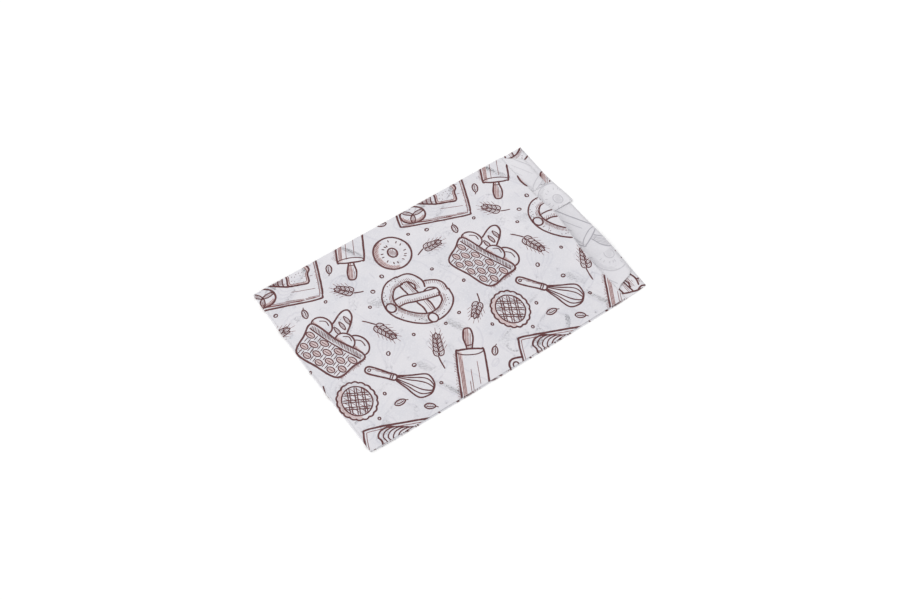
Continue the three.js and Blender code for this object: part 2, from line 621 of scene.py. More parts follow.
@dataclass(frozen=True)
class PaperFinish:
    """Thin white bakery paper, faintly lilac, clouded and cockled."""

    colour: tuple[float, float, float] = (0.745, 0.73, 0.764)
    cloud: tuple[float, float, float] = (0.66, 0.66, 0.708)
    fibre: tuple[float, float, float] = (0.79, 0.78, 0.81)
    roughness: float = 0.62
    bump: float = 0.00022
    crease: float = 0.1
    crease_scale: float = 24.0
    crease_width: float = 0.11
    cockle: float = 0.32
    grain: float = 0.25

    def base_colour(self, desk: NodeDesk) -> bpy.types.NodeSocket:
        """Mixes the paper's colour with its clouds and fibres.

        Args:
            desk: The material's nodes.

        Returns:
            The colour.
        """
        cloud = desk.ramp(desk.speckle(42, 5, 0.62), 0.42, 0.72)
        fibre = desk.ramp(desk.speckle(900, 2, 0.7), 0.5, 0.8)
        clouded = desk.blend(cloud, self.colour, self.cloud)
        return desk.blend(fibre, clouded, self.fibre)

    def relief(self, desk: NodeDesk) -> None:
        """Gives the shader the paper's grain and small cockles.

        Args:
            desk: The material's nodes.
        """
        where = desk.add("ShaderNodeTexCoord")
        folds = desk.add("ShaderNodeTexVoronoi", feature="DISTANCE_TO_EDGE", randomness=1.0,
                         scale=self.crease_scale)
        desk.link(where.outputs["Object"], folds.inputs["Vector"])
        crease = desk.add("ShaderNodeBump", strength=self.crease, distance=self.bump * 2)
        desk.link(desk.ramp(folds.outputs["Distance"], 0.0, self.crease_width), crease.inputs["Height"])
        cockle = desk.add("ShaderNodeBump", strength=self.cockle, distance=self.bump)
        desk.link(crease.outputs[0], cockle.inputs["Normal"])
        desk.link(desk.speckle(95, 4, 0.55), cockle.inputs["Height"])
        grain = desk.add("ShaderNodeBump", strength=self.grain, distance=self.bump / 8)
        desk.link(desk.speckle(1600, 2, 0.6), grain.inputs["Height"])
        desk.link(cockle.outputs[0], grain.inputs["Normal"])
        desk.link(grain.outputs[0], desk.shader.inputs["Normal"])

    def material(self, name: str) -> bpy.types.Material:
        """Makes the paper's material.

        Args:
            name: Name of the material.

        Returns:
            The material.
        """
        desk = NodeDesk(name)
        desk.link(self.base_colour(desk), desk.shader.inputs["Base Color"])
        desk.shader.inputs["Roughness"].default_value = self.roughness
        self.relief(desk)
        return desk.material


@dataclass(frozen=True)
class InkFinish:
    """Water-based print on paper, a little uneven."""

    colour: tuple[float, float, float]
    worn: tuple[float, float, float]
    roughness: float = 0.6

    def material(self, name: str) -> bpy.types.Material:
        """Makes the ink's material.

        Args:
            name: Name of the material.

        Returns:
            The material.
        """
        desk = NodeDesk(name)
        patchy = desk.ramp(desk.speckle(420, 3, 0.7), 0.42, 0.72)
        desk.link(desk.blend(patchy, self.colour, self.worn), desk.shader.inputs["Base Color"])
        desk.shader.inputs["Roughness"].default_value = self.roughness
        return desk.material


GHOST_INSIDE = (0.29, 0.28, 0.32)
GHOST_THROUGH = (0.43, 0.42, 0.52)
# Painted shade on the paper's inner face: the back's near half and the upper gusset halves are darkened by
# these shares at the lip, where they lie in shade.
INNER_PAINTED_SHADE = {Layer.BACK_NEAR: 0.065, Layer.GUSSET_NEAR_HIGH: 0.055, Layer.GUSSET_FAR_HIGH: 0.02}


@dataclass(frozen=True)
class ShowThroughFinish:
    """Print on the sheet's other side, or on the layer beneath, seen through the paper; on the inner face the
    same shade attribute also carries painted shade.
    """

    colour: tuple[float, float, float]
    paper: PaperFinish

    def material(self, name: str) -> bpy.types.Material:
        """Makes paper that darkens by the vertex attribute named shade.

        Args:
            name: Name of the material.

        Returns:
            The material.
        """
        desk = NodeDesk(name)
        shade = desk.add("ShaderNodeAttribute", attribute_name="shade")
        mixed = desk.blend(shade.outputs["Fac"], self.paper.base_colour(desk), self.colour)
        desk.link(mixed, desk.shader.inputs["Base Color"])
        desk.shader.inputs["Roughness"].default_value = self.paper.roughness
        self.paper.relief(desk)
        return desk.material


class Ink(Enum):
    """The tones of the print."""

    LINE = 0
    HATCH = 1
    TINT = 2


INK_FINISHES = {
    Ink.LINE: InkFinish((0.090, 0.019, 0.021), (0.142, 0.044, 0.045)),
    Ink.HATCH: InkFinish((0.158, 0.040, 0.038), (0.290, 0.112, 0.108)),
    Ink.TINT: InkFinish((0.62, 0.48, 0.48), (0.70, 0.62, 0.63)),
}


@dataclass
class Stroke:
    """A drawn line in millimetres, with its width and tone."""

    points: list[Point]
    width: float
    ink: Ink = Ink.LINE


def resample(points: list[Point], step: float) -> list[Point]:
    """Divides a line into short pieces.

    Args:
        points: The line.
        step: Longest piece.

    Returns:
        The same line with more points.
    """
    result = [points[0]]
    for (ax, ay), (bx, by) in zip(points, points[1:]):
        count = max(1, math.ceil(math.hypot(bx - ax, by - ay) / step))
        for index in range(1, count + 1):
            share = index / count
            result.append((ax + (bx - ax) * share, ay + (by - ay) * share))
    return result


def curve(points: list[Point], closed: bool = False, steps: int = 10) -> list[Point]:
    """Runs a smooth curve through points.

    Args:
        points: The points to pass through.
        closed: Whether the curve returns to its first point.
        steps: Pieces between two points.

    Returns:
        The curve's points.
    """
    count = len(points)
    result: list[Point] = []
    for index in range(count if closed else count - 1):
        a, b, c, d = (
            points[(index + shift) % count] if closed else points[int(clamp(index + shift, 0, count - 1))]
            for shift in (-1, 0, 1, 2)
        )
        for step in range(steps):
            t = step / steps
            result.append(tuple(
                0.5 * (2 * b[k] + (c[k] - a[k]) * t + (2 * a[k] - 5 * b[k] + 4 * c[k] - d[k]) * t * t
                       + (3 * b[k] - a[k] - 3 * c[k] + d[k]) * t ** 3)
                for k in (0, 1)
            ))
    result.append(points[0] if closed else points[-1])
    return result


def turned(points: Iterable[Point], degrees: float, x: float = 0.0, y: float = 0.0) -> list[Point]:
    """Turns points about the origin, then moves them.

    Args:
        points: The points.
        degrees: How far they are turned, anticlockwise.
        x: How far they are moved across.
        y: How far they are moved up.

    Returns:
        The new points.
    """
    cos, sin = math.cos(math.radians(degrees)), math.sin(math.radians(degrees))
    return [(x + px * cos - py * sin, y + px * sin + py * cos) for px, py in points]


def stretches(points: list[Point], keep: Callable[[float, float], bool]) -> list[list[Point]]:
    """Keeps the stretches of a line that pass a test.

    Args:
        points: The line.
        keep: The test of a point.

    Returns:
        The stretches.
    """
    runs: list[list[Point]] = []
    run: list[Point] = []
    for point in points:
        if keep(*point):
            run.append(point)
        else:
            if len(run) > 1:
                runs.append(run)
            run = []
    if len(run) > 1:
        runs.append(run)
    return runs


def oval(wide: float, high: float, x: float = 0.0, y: float = 0.0, turn: float = 0.0,
         start: float = 0.0, end: float = 360.0) -> list[Point]:
    """Returns an oval, or an arc of one.

    Args:
        wide: Half its width.
        high: Half its height.
        x: Middle, across.
        y: Middle, up.
        turn: Degrees that it is turned by.
        start: Angle of its first point.
        end: Angle of its last point.

    Returns:
        The line's points.
    """
    count = max(8, int(abs(end - start) / 9))
    angles = [math.radians(start + (end - start) * index / count) for index in range(count + 1)]
    return turned([(wide * math.cos(angle), high * math.sin(angle)) for angle in angles], turn, x, y)


def inside(point: Point, outline: list[Point]) -> bool:
    """Tells whether a point lies in a closed outline.

    Args:
        point: The point.
        outline: The outline.

    Returns:
        True if it does.
    """
    x, y = point
    result = False
    for (ax, ay), (bx, by) in zip(outline, outline[1:] + outline[:1]):
        if (ay > y) != (by > y) and x < (bx - ax) * (y - ay) / (by - ay) + ax:
            result = not result
    return result


class Sketch:
    """A motif's strokes, drawn from back to front.

    hand_step is the distance between two points of a line, and hand_wave the
    length of the hand's tremor.
    """

    hand_step = 0.7
    hand_wave = 5.0

    def __init__(self, seed: int) -> None:
        """Starts an empty sketch with its own hand tremor.

        Args:
            seed: Seed of the tremor and the hatching.
        """
        self.strokes: list[Stroke] = []
        self.random = random.Random(seed)
        self.seed = seed

    def line(self, points: list[Point], width: float = 0.75, ink: Ink = Ink.LINE,
             tremor: float = 0.16) -> None:
        """Draws a line with a slight tremor of the hand.

        Args:
            points: The line.
            width: Its width.
            ink: Its tone.
            tremor: How far the hand strays.
        """
        drawn = []
        for x, y in resample(points, self.hand_step):
            wx, wy = x / self.hand_wave, y / self.hand_wave
            dx = noise.noise(Vector((wx, wy, self.seed + 0.5))) * tremor
            dy = noise.noise(Vector((wx, wy, self.seed + 9.5))) * tremor
            drawn.append((x + dx, y + dy))
        self.strokes.append(Stroke(drawn, width, ink))

    def cover(self, outline: list[Point]) -> None:
        """Hides what lies behind a shape that is drawn next.

        Args:
            outline: The shape's closed outline.
        """
        self.strokes = [
            Stroke(run, stroke.width, stroke.ink)
            for stroke in self.strokes
            for run in stretches(stroke.points, lambda x, y: not inside((x, y), outline))
        ]

    def shape(self, outline: list[Point], width: float = 0.75) -> None:
        """Draws a closed outline and hides what is behind it."""
        self.cover(outline)
        self.line([*outline, outline[0]], width)

    def hatch(self, outline: list[Point], angle: float, gap: float, width: float = 0.3,
              ink: Ink = Ink.HATCH, ragged: float = 0.25) -> None:
        """Fills an outline with parallel strokes.

        Args:
            outline: The closed outline to fill.
            angle: Direction of the strokes in degrees.
            gap: Distance between strokes.
            width: Width of a stroke.
            ink: Tone of the strokes.
            ragged: How far a stroke may fall short, as a share of its length.
        """
        level_outline = turned(outline, -angle)
        low = min(y for _, y in level_outline)
        high = max(y for _, y in level_outline)
        level = low + gap * 0.6
        while level < high:
            cuts = sorted(
                ax + (bx - ax) * (level - ay) / (by - ay)
                for (ax, ay), (bx, by) in zip(level_outline, level_outline[1:] + level_outline[:1])
                if (ay > level) != (by > level)
            )
            for start, end in zip(cuts[::2], cuts[1::2]):
                size = end - start
                start += size * ragged * self.random.random() * 0.5
                end -= size * ragged * self.random.random()
                if end - start > 0.5:
                    self.line(turned([(start, level), (end, level)], angle), width, ink, 0.1)
            level += gap * (0.85 + 0.3 * self.random.random())

    def stipple(self, outline: list[Point], gap: float, size: float = 0.55) -> None:
        """Scatters small dots in an outline.

        Args:
            outline: The closed outline.
            gap: Distance between dots.
            size: Size of a dot.
        """
        xs = [x for x, _ in outline]
        ys = [y for _, y in outline]
        x = min(xs)
        while x < max(xs):
            y = min(ys)
            while y < max(ys):
                px = x + gap * (self.random.random() - 0.5) * 0.8
                py = y + gap * (self.random.random() - 0.5) * 0.8
                if inside((px, py), outline):
                    self.strokes.append(Stroke([(px, py), (px + size, py + size * 0.3)], size, Ink.LINE))
                y += gap
            x += gap

    def ticks(self, points: list[Point], length: float, gap: float = 1.0, lean: float = 0.0,
              width: float = 0.28) -> None:
        """Draws short strokes out of a line, to its left.

        Args:
            points: The line.
            length: Length of a tick.
            gap: Distance between ticks.
            lean: Degrees that the ticks lean by.
            width: Width of a tick.
        """
        dense = resample(points, gap)
        for (ax, ay), (bx, by) in zip(dense, dense[1:]):
            angle = math.atan2(bx - ax, -(by - ay)) + math.radians(lean)
            reach = length * (0.6 + 0.6 * self.random.random())
            end = (ax + math.cos(angle) * reach, ay + math.sin(angle) * reach)
            self.strokes.append(Stroke([(ax, ay), end], width, Ink.HATCH))

    def tint(self, outline: list[Point], angle: float = 20.0) -> None:
        """Lays a pale wash over an outline, as touching strokes."""
        self.hatch(outline, angle, 0.62, 0.85, Ink.TINT, 0.0)


class Motif:
    """A small drawing that the print repeats."""

    def draw(self, sketch: Sketch) -> None:
        """Draws the motif about its middle."""
        raise NotImplementedError

    def strokes(self, seed: int) -> list[Stroke]:
        """Draws the motif.

        Args:
            seed: Seed of its tremor and hatching.

        Returns:
            Its strokes.
        """
        sketch = Sketch(seed)
        self.draw(sketch)
        return sketch.strokes


@dataclass
class RollingPin(Motif):
    """A rolling pin with turned handles."""

    barrel: float = 46.0
    thick: float = 15.0
    handle: float = 13.0

    def draw(self, sketch: Sketch) -> None:
        """Draws the handles, then the barrel over them.

        Args:
            sketch: The sketch to draw on.
        """
        half, radius = self.barrel / 2, self.thick / 2
        for side in (-1, 1):
            grip = [
                (side * half, 1.6), (side * (half + 3), 2.0), (side * (half + self.handle * 0.6), 3.1),
                (side * (half + self.handle), 2.3), (side * (half + self.handle + 1.2), 0.0),
                (side * (half + self.handle), -2.3), (side * (half + self.handle * 0.6), -3.1),
                (side * (half + 3), -2.0), (side * half, -1.6),
            ]
            outline = curve(grip)
            sketch.line(outline)
            sketch.tint([(x, y) for x, y in outline if y < 0.5] + [(side * half, 0)], 0)
            sketch.line([(side * (half + 3.2), 2.0), (side * (half + 2.8), -2.0)], 0.5)
            sketch.hatch(curve([(x, y * 0.8 - 0.4) for x, y in grip]), 8, 1.0, 0.28)
        body = curve([
            (-half, radius - 2), (-half + 2.5, radius), (0, radius + 0.3), (half - 2.5, radius),
            (half, radius - 2), (half + 0.5, 0), (half, 2 - radius), (half - 2.5, -radius),
            (0, -radius - 0.3), (2.5 - half, -radius), (-half, 2 - radius), (-half - 0.5, 0),
        ], True)
        sketch.shape(body, 0.85)
        low_band = [
            (-half + 1, 1 - radius), (half - 1, 1 - radius),
            (half - 1, 3.2 - radius), (1 - half, 3.2 - radius),
        ]
        sketch.tint(low_band, 0)
        sketch.hatch(low_band, 0, 0.8, 0.32)
        wood_grain = ((0.3, -0.8, -0.1), (0.42, 0.1, 0.7), (-0.12, -0.3, 0.5), (-0.3, -0.9, 0.2))
        for level, start, end in wood_grain:
            ends = [(half * start, radius * level), (half * end, radius * level * 0.95)]
            sketch.line(ends, 0.35, Ink.HATCH)
        for side in (-1, 1):
            sketch.line(oval(2.4, radius - 0.6, side * (half - 1.2), 0, 0, 90, 270 if side > 0 else -90), 0.5)
        sketch.ticks([(half - 2, -radius - 0.4), (-half + 2, -radius - 0.4)], 2.2, 1.1, -18)


@dataclass
class Pretzel(Motif):
    """A knotted pretzel with salt."""

    rope: float = 6.2
    size: float = 1.0

    def band(self, path: list[Point], half: float) -> tuple[list[Point], list[Point]]:
        """Finds the two sides of a rope that follows a path.

        Args:
            path: The rope's middle.
            half: Half the rope's width.

        Returns:
            The left side and the right side.
        """
        left, right = [], []
        for index, (x, y) in enumerate(path):
            ax, ay = path[max(index - 1, 0)]
            bx, by = path[min(index + 1, len(path) - 1)]
            size = math.hypot(bx - ax, by - ay) or 1
            nx, ny = -(by - ay) / size, (bx - ax) / size
            left.append((x + nx * half, y + ny * half))
            right.append((x - nx * half, y - ny * half))
        return left, right

    def draw(self, sketch: Sketch) -> None:
        """Draws the rope piece by piece, each over the last.

        Args:
            sketch: The sketch to draw on.
        """
        k = self.size
        pieces = [
            [(-13 * k, -9 * k), (-8 * k, -3 * k), (-1 * k, 1 * k), (7 * k, 6 * k), (14 * k, 11 * k)],
            [(13 * k, -9 * k), (8 * k, -3 * k), (1 * k, 1 * k), (-7 * k, 6 * k), (-14 * k, 11 * k)],
            [(14 * k, 11 * k), (18.5 * k, 5 * k), (18 * k, -3 * k), (13 * k, -10 * k), (5 * k, -13 * k),
             (-5 * k, -13 * k), (-13 * k, -10 * k), (-18 * k, -3 * k), (-18.5 * k, 5 * k), (-14 * k, 11 * k)],
        ]
        top = curve([(-15 * k, 10 * k), (-10 * k, 14 * k), (-3 * k, 12.5 * k), (0, 8.5 * k)])
        pieces.append(top)
        pieces.append([(-x, y) for x, y in top])
        half = self.rope / 2 * k
        for index, path in enumerate(pieces):
            smooth_path = curve(path) if index < 3 else path
            thick = half * (1.12 if index == 2 else 0.92)
            left, right = self.band(smooth_path, thick)
            sketch.cover(left + right[::-1])
            sketch.line(left)
            sketch.line(right)
            if index == 2:
                inner_left, _ = self.band(smooth_path, thick * 0.62)
                _, inner_right = self.band(smooth_path, thick * 0.2)
                sketch.hatch(right + inner_right[::-1], 62, 0.9, 0.3)
                sketch.stipple(inner_left + smooth_path[::-1], 2.3, 0.6)
            else:
                sketch.hatch(left + smooth_path[::-1], 40 + 50 * (index % 2), 1.1, 0.28)
        for x in (-13.5, 13.5):
            sketch.shape(oval(3.4 * k, 2.8 * k, x * k, -10.2 * k, 30))


@dataclass
class TinLoaf(Motif):
    """A tin loaf with two cut slices, seen from its cut end."""

    wide: float = 17.0
    high: float = 15.0
    depth: float = 27.0
    rise: float = 9.0

    def face(self, x: float, y: float, size: float = 1.0) -> list[Point]:
        """Outlines a slice.

        Args:
            x: Middle of its foot, across.
            y: Its foot.
            size: Its size, as a share.

        Returns:
            The outline.
        """
        w, h = self.wide / 2 * size, self.high * size
        corners = [
            (-w * 0.86, 0), (-w * 0.9, h * 0.5), (-w * 1.12, h * 0.78), (-w * 0.8, h * 1.08), (0, h * 1.22),
            (w * 0.8, h * 1.08), (w * 1.12, h * 0.78), (w * 0.9, h * 0.5), (w * 0.86, 0), (0, -h * 0.03),
        ]
        return curve([(x + px, y + py) for px, py in corners], True, 6)

    def draw(self, sketch: Sketch) -> None:
        """Draws the loaf from its far end to the cut face.

        Args:
            sketch: The sketch to draw on.
        """
        steps = 6
        start_x, start_y = 12.0, -2.0
        far = self.face(start_x, start_y + self.rise * 0.3, 0.92)
        sketch.shape(far)
        for index in range(steps):
            share = (index + 1) / steps
            x = start_x - self.depth * 0.75 * share
            y = start_y + self.rise * 0.3 - (self.rise * 0.6) * share
            outline = self.face(x, y, 0.92 + 0.08 * share)
            sketch.cover(outline)
            arc = [p for p in outline if p[0] > x - self.wide * 0.35 or p[1] > y + self.high * 0.9]
            if index == steps - 1:
                sketch.line([*outline, outline[0]], 0.8)
            else:
                sketch.line(arc, 0.55)
        x, y = start_x - self.depth * 0.75, start_y - self.rise * 0.3
        inner = self.face(x, y + 1.5, 0.8)
        sketch.line([*inner, inner[0]], 0.4, Ink.HATCH)
        sketch.stipple(inner, 2.9, 0.5)
        ring = self.face(x, y) + self.face(x, y + 1.5, 0.8)[::-1]
        sketch.tint(ring, 35)
        right_x = x + self.wide * 0.5
        side = [
            (right_x, y + 1), (start_x + 6.5, start_y + 3.5),
            (start_x + 7.2, start_y + 9), (right_x + 0.6, y + 6),
        ]
        sketch.hatch(side, 14, 0.85, 0.3)
        sketch.line([(x - self.wide * 0.4, y - 0.6), (right_x, y - 0.4), (start_x + 7, start_y + 2.4)], 0.8)


@dataclass
class RoundLoaf(Motif):
    """A round loaf scored with a star of cuts."""

    radius: float = 13.0
    cuts: int = 4
    squash: float = 0.84

    def draw(self, sketch: Sketch) -> None:
        """Draws the rim, the cuts and the shading.

        Args:
            sketch: The sketch to draw on.
        """
        rim = oval(self.radius, self.radius * self.squash)
        sketch.shape(rim, 0.85)
        crescent = oval(self.radius * 0.97, self.radius * self.squash * 0.97, 0, 0, 0, 200, 352)
        crescent += oval(self.radius * 0.82, self.radius * self.squash * 0.7, 0, 0.6, 0, 352, 200)
        sketch.tint(crescent, 25)
        sketch.hatch(crescent, 75, 0.85, 0.3)
        for index in range(self.cuts):
            angle = 35 + 360 * index / self.cuts
            middle = self.radius * 0.5
            leaf = curve([(-4.8, 0), (-1.5, 1.5), (1.8, 1.3), (4.8, 0), (1.5, -1.4), (-2.0, -1.2)], True)
            placed = [(x, y * self.squash) for x, y in turned([(middle + x, y) for x, y in leaf], angle)]
            sketch.line([*placed, placed[0]], 0.55)
            sketch.hatch(placed, angle + 70, 0.75, 0.3)
        ring = oval(self.radius * 0.9, self.radius * self.squash * 0.88)
        sketch.stipple(ring, 3.9, 0.45)


@dataclass
class RingRoll(Motif):
    """A ring roll strewn with seeds."""

    radius: float = 12.5
    hole: float = 3.9

    def draw(self, sketch: Sketch) -> None:
        """Draws the ring, its hole, the shading and the seeds.

        Args:
            sketch: The sketch to draw on.
        """
        outer = oval(self.radius, self.radius * 0.88)
        sketch.shape(outer, 0.85)
        hole = oval(self.hole, self.hole * 0.78, 0.3, 0.4)
        low = oval(self.radius * 0.96, self.radius * 0.85, 0, 0, 0, 190, 350)
        low += oval(self.radius * 0.8, self.radius * 0.62, 0, 0.2, 0, 350, 190)
        sketch.tint(low, 10)
        sketch.hatch(low, 66, 0.9, 0.3)
        for index in range(15):
            angle = math.radians(index * 137.5)
            reach = self.radius * (0.5 + 0.28 * ((index * 0.618) % 1))
            x, y = reach * math.cos(angle), reach * 0.86 * math.sin(angle)
            lean = angle * 2.3
            dx, dy = 0.95 * math.cos(lean), 0.95 * math.sin(lean)
            sketch.line([(x - dx, y - dy), (x + dx, y + dy)], 0.62)
        sketch.shape(hole, 0.75)
        sketch.hatch(oval(self.hole * 0.9, self.hole * 0.66, 0.3, 0.7), 30, 0.7, 0.32)


@dataclass
class Whisk(Motif):
    """A balloon whisk."""

    handle: float = 19.0
    wires: float = 26.0
    spread: float = 8.6

    def draw(self, sketch: Sketch) -> None:
        """Draws the wires and the handle.

        Args:
            sketch: The sketch to draw on.
        """
        for share in (1.0, 0.66, 0.3):
            w = self.spread * share
            side = [
                (1.2 * share, 0), (w * 0.55, self.wires * 0.35), (w, self.wires * 0.72),
                (w * 0.55, self.wires * 0.95),
            ]
            top = (0, self.wires * (0.97 + 0.03 * share))
            loop = [*side, top, *((-x, y) for x, y in side[::-1])]
            sketch.line(curve(loop), 0.55 if share < 1 else 0.7)
        grip = curve([
            (-1.8, 0.8), (-2.1, -self.handle * 0.3), (-2.6, -self.handle * 0.8), (-1.5, -self.handle),
            (1.5, -self.handle), (2.6, -self.handle * 0.8), (2.1, -self.handle * 0.3), (1.8, 0.8),
        ], True)
        sketch.shape(grip, 0.8)
        shade = [(0.4, 0), (2.0, 0), (2.5, -self.handle * 0.8), (0.8, -self.handle * 0.9)]
        sketch.hatch(shade, 82, 0.75, 0.32)
        for level in (-1.2, -2.6):
            sketch.line([(-2.1, level), (2.1, level)], 0.5)
        sketch.line(oval(0.9, 0.9, 0, -self.handle + 2.2), 0.45)


@dataclass
class LatticeTart(Motif):
    """A round tart with a lattice and a crimped edge."""

    radius: float = 12.5
    crimps: int = 18

    def draw(self, sketch: Sketch) -> None:
        """Draws the crimped edge, the filling and the lattice.

        Args:
            sketch: The sketch to draw on.
        """
        edge = []
        for index in range(self.crimps * 6):
            angle = 2 * math.pi * index / (self.crimps * 6)
            reach = self.radius + 0.75 * abs(math.sin(angle * self.crimps / 2))
            edge.append((reach * math.cos(angle), reach * 0.86 * math.sin(angle)))
        sketch.shape(edge, 0.75)
        dish = oval(self.radius * 0.8, self.radius * 0.68)
        sketch.line(dish, 0.6)
        for turn in (28, 118):
            for level in (-0.48, 0.0, 0.48):
                reach = self.radius * 0.8 * math.sqrt(1 - level * level)
                for shift in (-0.8, 0.8):
                    base = self.radius * 0.8 * level + shift
                    strip = turned([(-reach, base), (reach, base)], turn)
                    line = [(x, y * 0.85) for x, y in strip]
                    sketch.line([p for p in resample(line, 0.7) if inside(p, dish)] or line, 0.45)
        sketch.hatch(dish, -20, 2.3, 0.3, Ink.HATCH, 0.1)
        low = oval(self.radius * 0.98, self.radius * 0.84, 0, 0, 0, 200, 340)
        low += oval(self.radius * 0.82, self.radius * 0.7, 0, 0, 0, 340, 200)
        sketch.tint(low, 0)


@dataclass
class OatSprig(Motif):
    """A stem with paired grains and long beards."""

    length: float = 24.0
    pairs: int = 5
    grain: float = 4.8

    def draw(self, sketch: Sketch) -> None:
        """Draws the stem, then the grains from its foot to its tip.

        Args:
            sketch: The sketch to draw on.
        """
        bend = 2.4
        stem = [(-bend, -self.length * 0.5), (bend * 0.3, -self.length * 0.1), (0.2, self.length * 0.34)]
        sketch.line(curve(stem), 0.6)
        for index in range(self.pairs):
            share = index / max(self.pairs - 1, 1)
            y = -self.length * 0.12 + self.length * 0.5 * share
            for side in (-1, 1):
                self._grain(sketch, side * 0.5, y, side * (36 - 12 * share), 1 - 0.22 * share)
        self._grain(sketch, 0.2, self.length * 0.4, 0, 0.85)

    def _grain(self, sketch: Sketch, x: float, y: float, lean: float, size: float) -> None:
        """Draws one grain and its beard.

        Args:
            sketch: The sketch to draw on.
            x: Its root, across.
            y: Its root, up.
            lean: Degrees that it leans to the side.
            size: Its size, as a share.
        """
        long, fat = self.grain * size, self.grain * 0.29 * size
        shape = curve([(0, 0), (fat, long * 0.42), (fat * 0.5, long * 0.86), (0, long * 1.05),
                       (-fat * 0.5, long * 0.86), (-fat, long * 0.42)], True, 5)
        beard = [(0, long), (0, long * 1.95)]
        midline = [(0, long * 0.2), (0, long * 0.72)]
        sketch.line(turned(beard, -lean, x, y), 0.26, Ink.HATCH)
        sketch.shape(turned(shape, -lean, x, y), 0.52)
        sketch.line(turned(midline, -lean, x, y), 0.34, Ink.HATCH)


@dataclass
class Grain(Motif):
    """A single grain with a midline."""

    long: float = 7.5
    fat: float = 3.4

    def draw(self, sketch: Sketch) -> None:
        """Draws the husk, its midline and a little shading.

        Args:
            sketch: The sketch to draw on.
        """
        half = self.long / 2
        husk = curve([(-half, 0), (-half * 0.4, self.fat * 0.5), (half * 0.5, self.fat * 0.42), (half, 0),
                      (half * 0.5, -self.fat * 0.45), (-half * 0.4, -self.fat * 0.5)], True, 6)
        sketch.shape(husk, 0.6)
        sketch.line(curve([(-half * 0.7, 0.1), (0, 0.45), (half * 0.75, 0)]), 0.4)
        low = -self.fat * 0.45
        shade = [(-half * 0.6, -0.1), (half * 0.6, -0.1), (half * 0.3, low), (-half * 0.4, low)]
        sketch.hatch(shade, 60, 0.8, 0.28)
        sketch.line([(half, 0), (half + 1.8, 0.7)], 0.5)


@dataclass
class Seed(Motif):
    """A small round seed."""

    radius: float = 1.05

    def draw(self, sketch: Sketch) -> None:
        """Draws the seed's rim and its dark side.

        Args:
            sketch: The sketch to draw on.
        """
        sketch.line(oval(self.radius, self.radius * 0.86), 0.5, Ink.LINE, 0.3)
        sketch.line(oval(self.radius * 0.5, self.radius * 0.4, 0.25, -0.2, 0, 200, 340), 0.45)


@dataclass
class BoardLoaf(Motif):
    """A bread board with a loaf and a bun on it."""

    long: float = 49.0
    wide: float = 36.0

    def draw(self, sketch: Sketch) -> None:
        """Draws the board, then the loaf and the bun over it.

        Args:
            sketch: The sketch to draw on.
        """
        a, b = self.long / 2, self.wide / 2
        board = curve([
            (-a, -b + 3), (-a + 3, -b), (0, -b - 0.4), (a - 3, -b), (a, -b + 3), (a + 0.4, 0),
            (a, b - 3), (a - 3, b), (0, b + 0.3), (-a + 3, b), (-a, b - 3), (-a - 0.5, 0),
        ], True, 6)
        sketch.shape(board, 0.85)
        knob = curve([(a, 4.6), (a + 7.5, 4.0), (a + 10, 0), (a + 7.5, -4.0), (a, -4.6)], False, 6)
        sketch.line(knob, 0.85)
        sketch.line(oval(1.9, 1.9, a + 5.6, 0), 0.6)
        inner = [(x * 0.93, y * 0.9) for x, y in board]
        sketch.line([*inner, inner[0]], 0.4, Ink.HATCH)
        edge = [(-a + 2, -b + 0.6), (a - 2, -b + 0.6), (a - 2, -b + 3.2), (-a + 2, -b + 3.2)]
        sketch.hatch(edge, 3, 0.8, 0.34, Ink.HATCH, 0.3)
        for level in (-0.5, 0.1, 0.55):
            sketch.line([(-a * 0.85, b * level), (-a * 0.2, b * (level + 0.03))], 0.32, Ink.HATCH)
        sketch.ticks([(-a - 0.4, b - 3), (-a - 0.4, -b + 3)], 2.4, 0.95, 0)
        self._stamp(sketch, TinLoaf(), -3.0, 1.0, 0.92)
        self._stamp(sketch, RoundLoaf(8.6, 3), 14.2, -9.0, 1.0)

    def _stamp(self, sketch: Sketch, motif: Motif, x: float, y: float, size: float) -> None:
        """Draws another motif over this one.

        Args:
            sketch: The sketch to draw on.
            motif: The motif.
            x: Its place, across.
            y: Its place, up.
            size: Its size, as a share.
        """
        own = Sketch(sketch.seed + 3)
        motif.draw(own)
        widest = [stroke for stroke in own.strokes if stroke.width >= 0.8]
        hull = hull_of([point for stroke in widest for point in stroke.points])
        sketch.cover([(x + px * size, y + py * size) for px, py in hull])
        for stroke in own.strokes:
            placed = [(x + px * size, y + py * size) for px, py in stroke.points]
            sketch.strokes.append(Stroke(placed, stroke.width, stroke.ink))


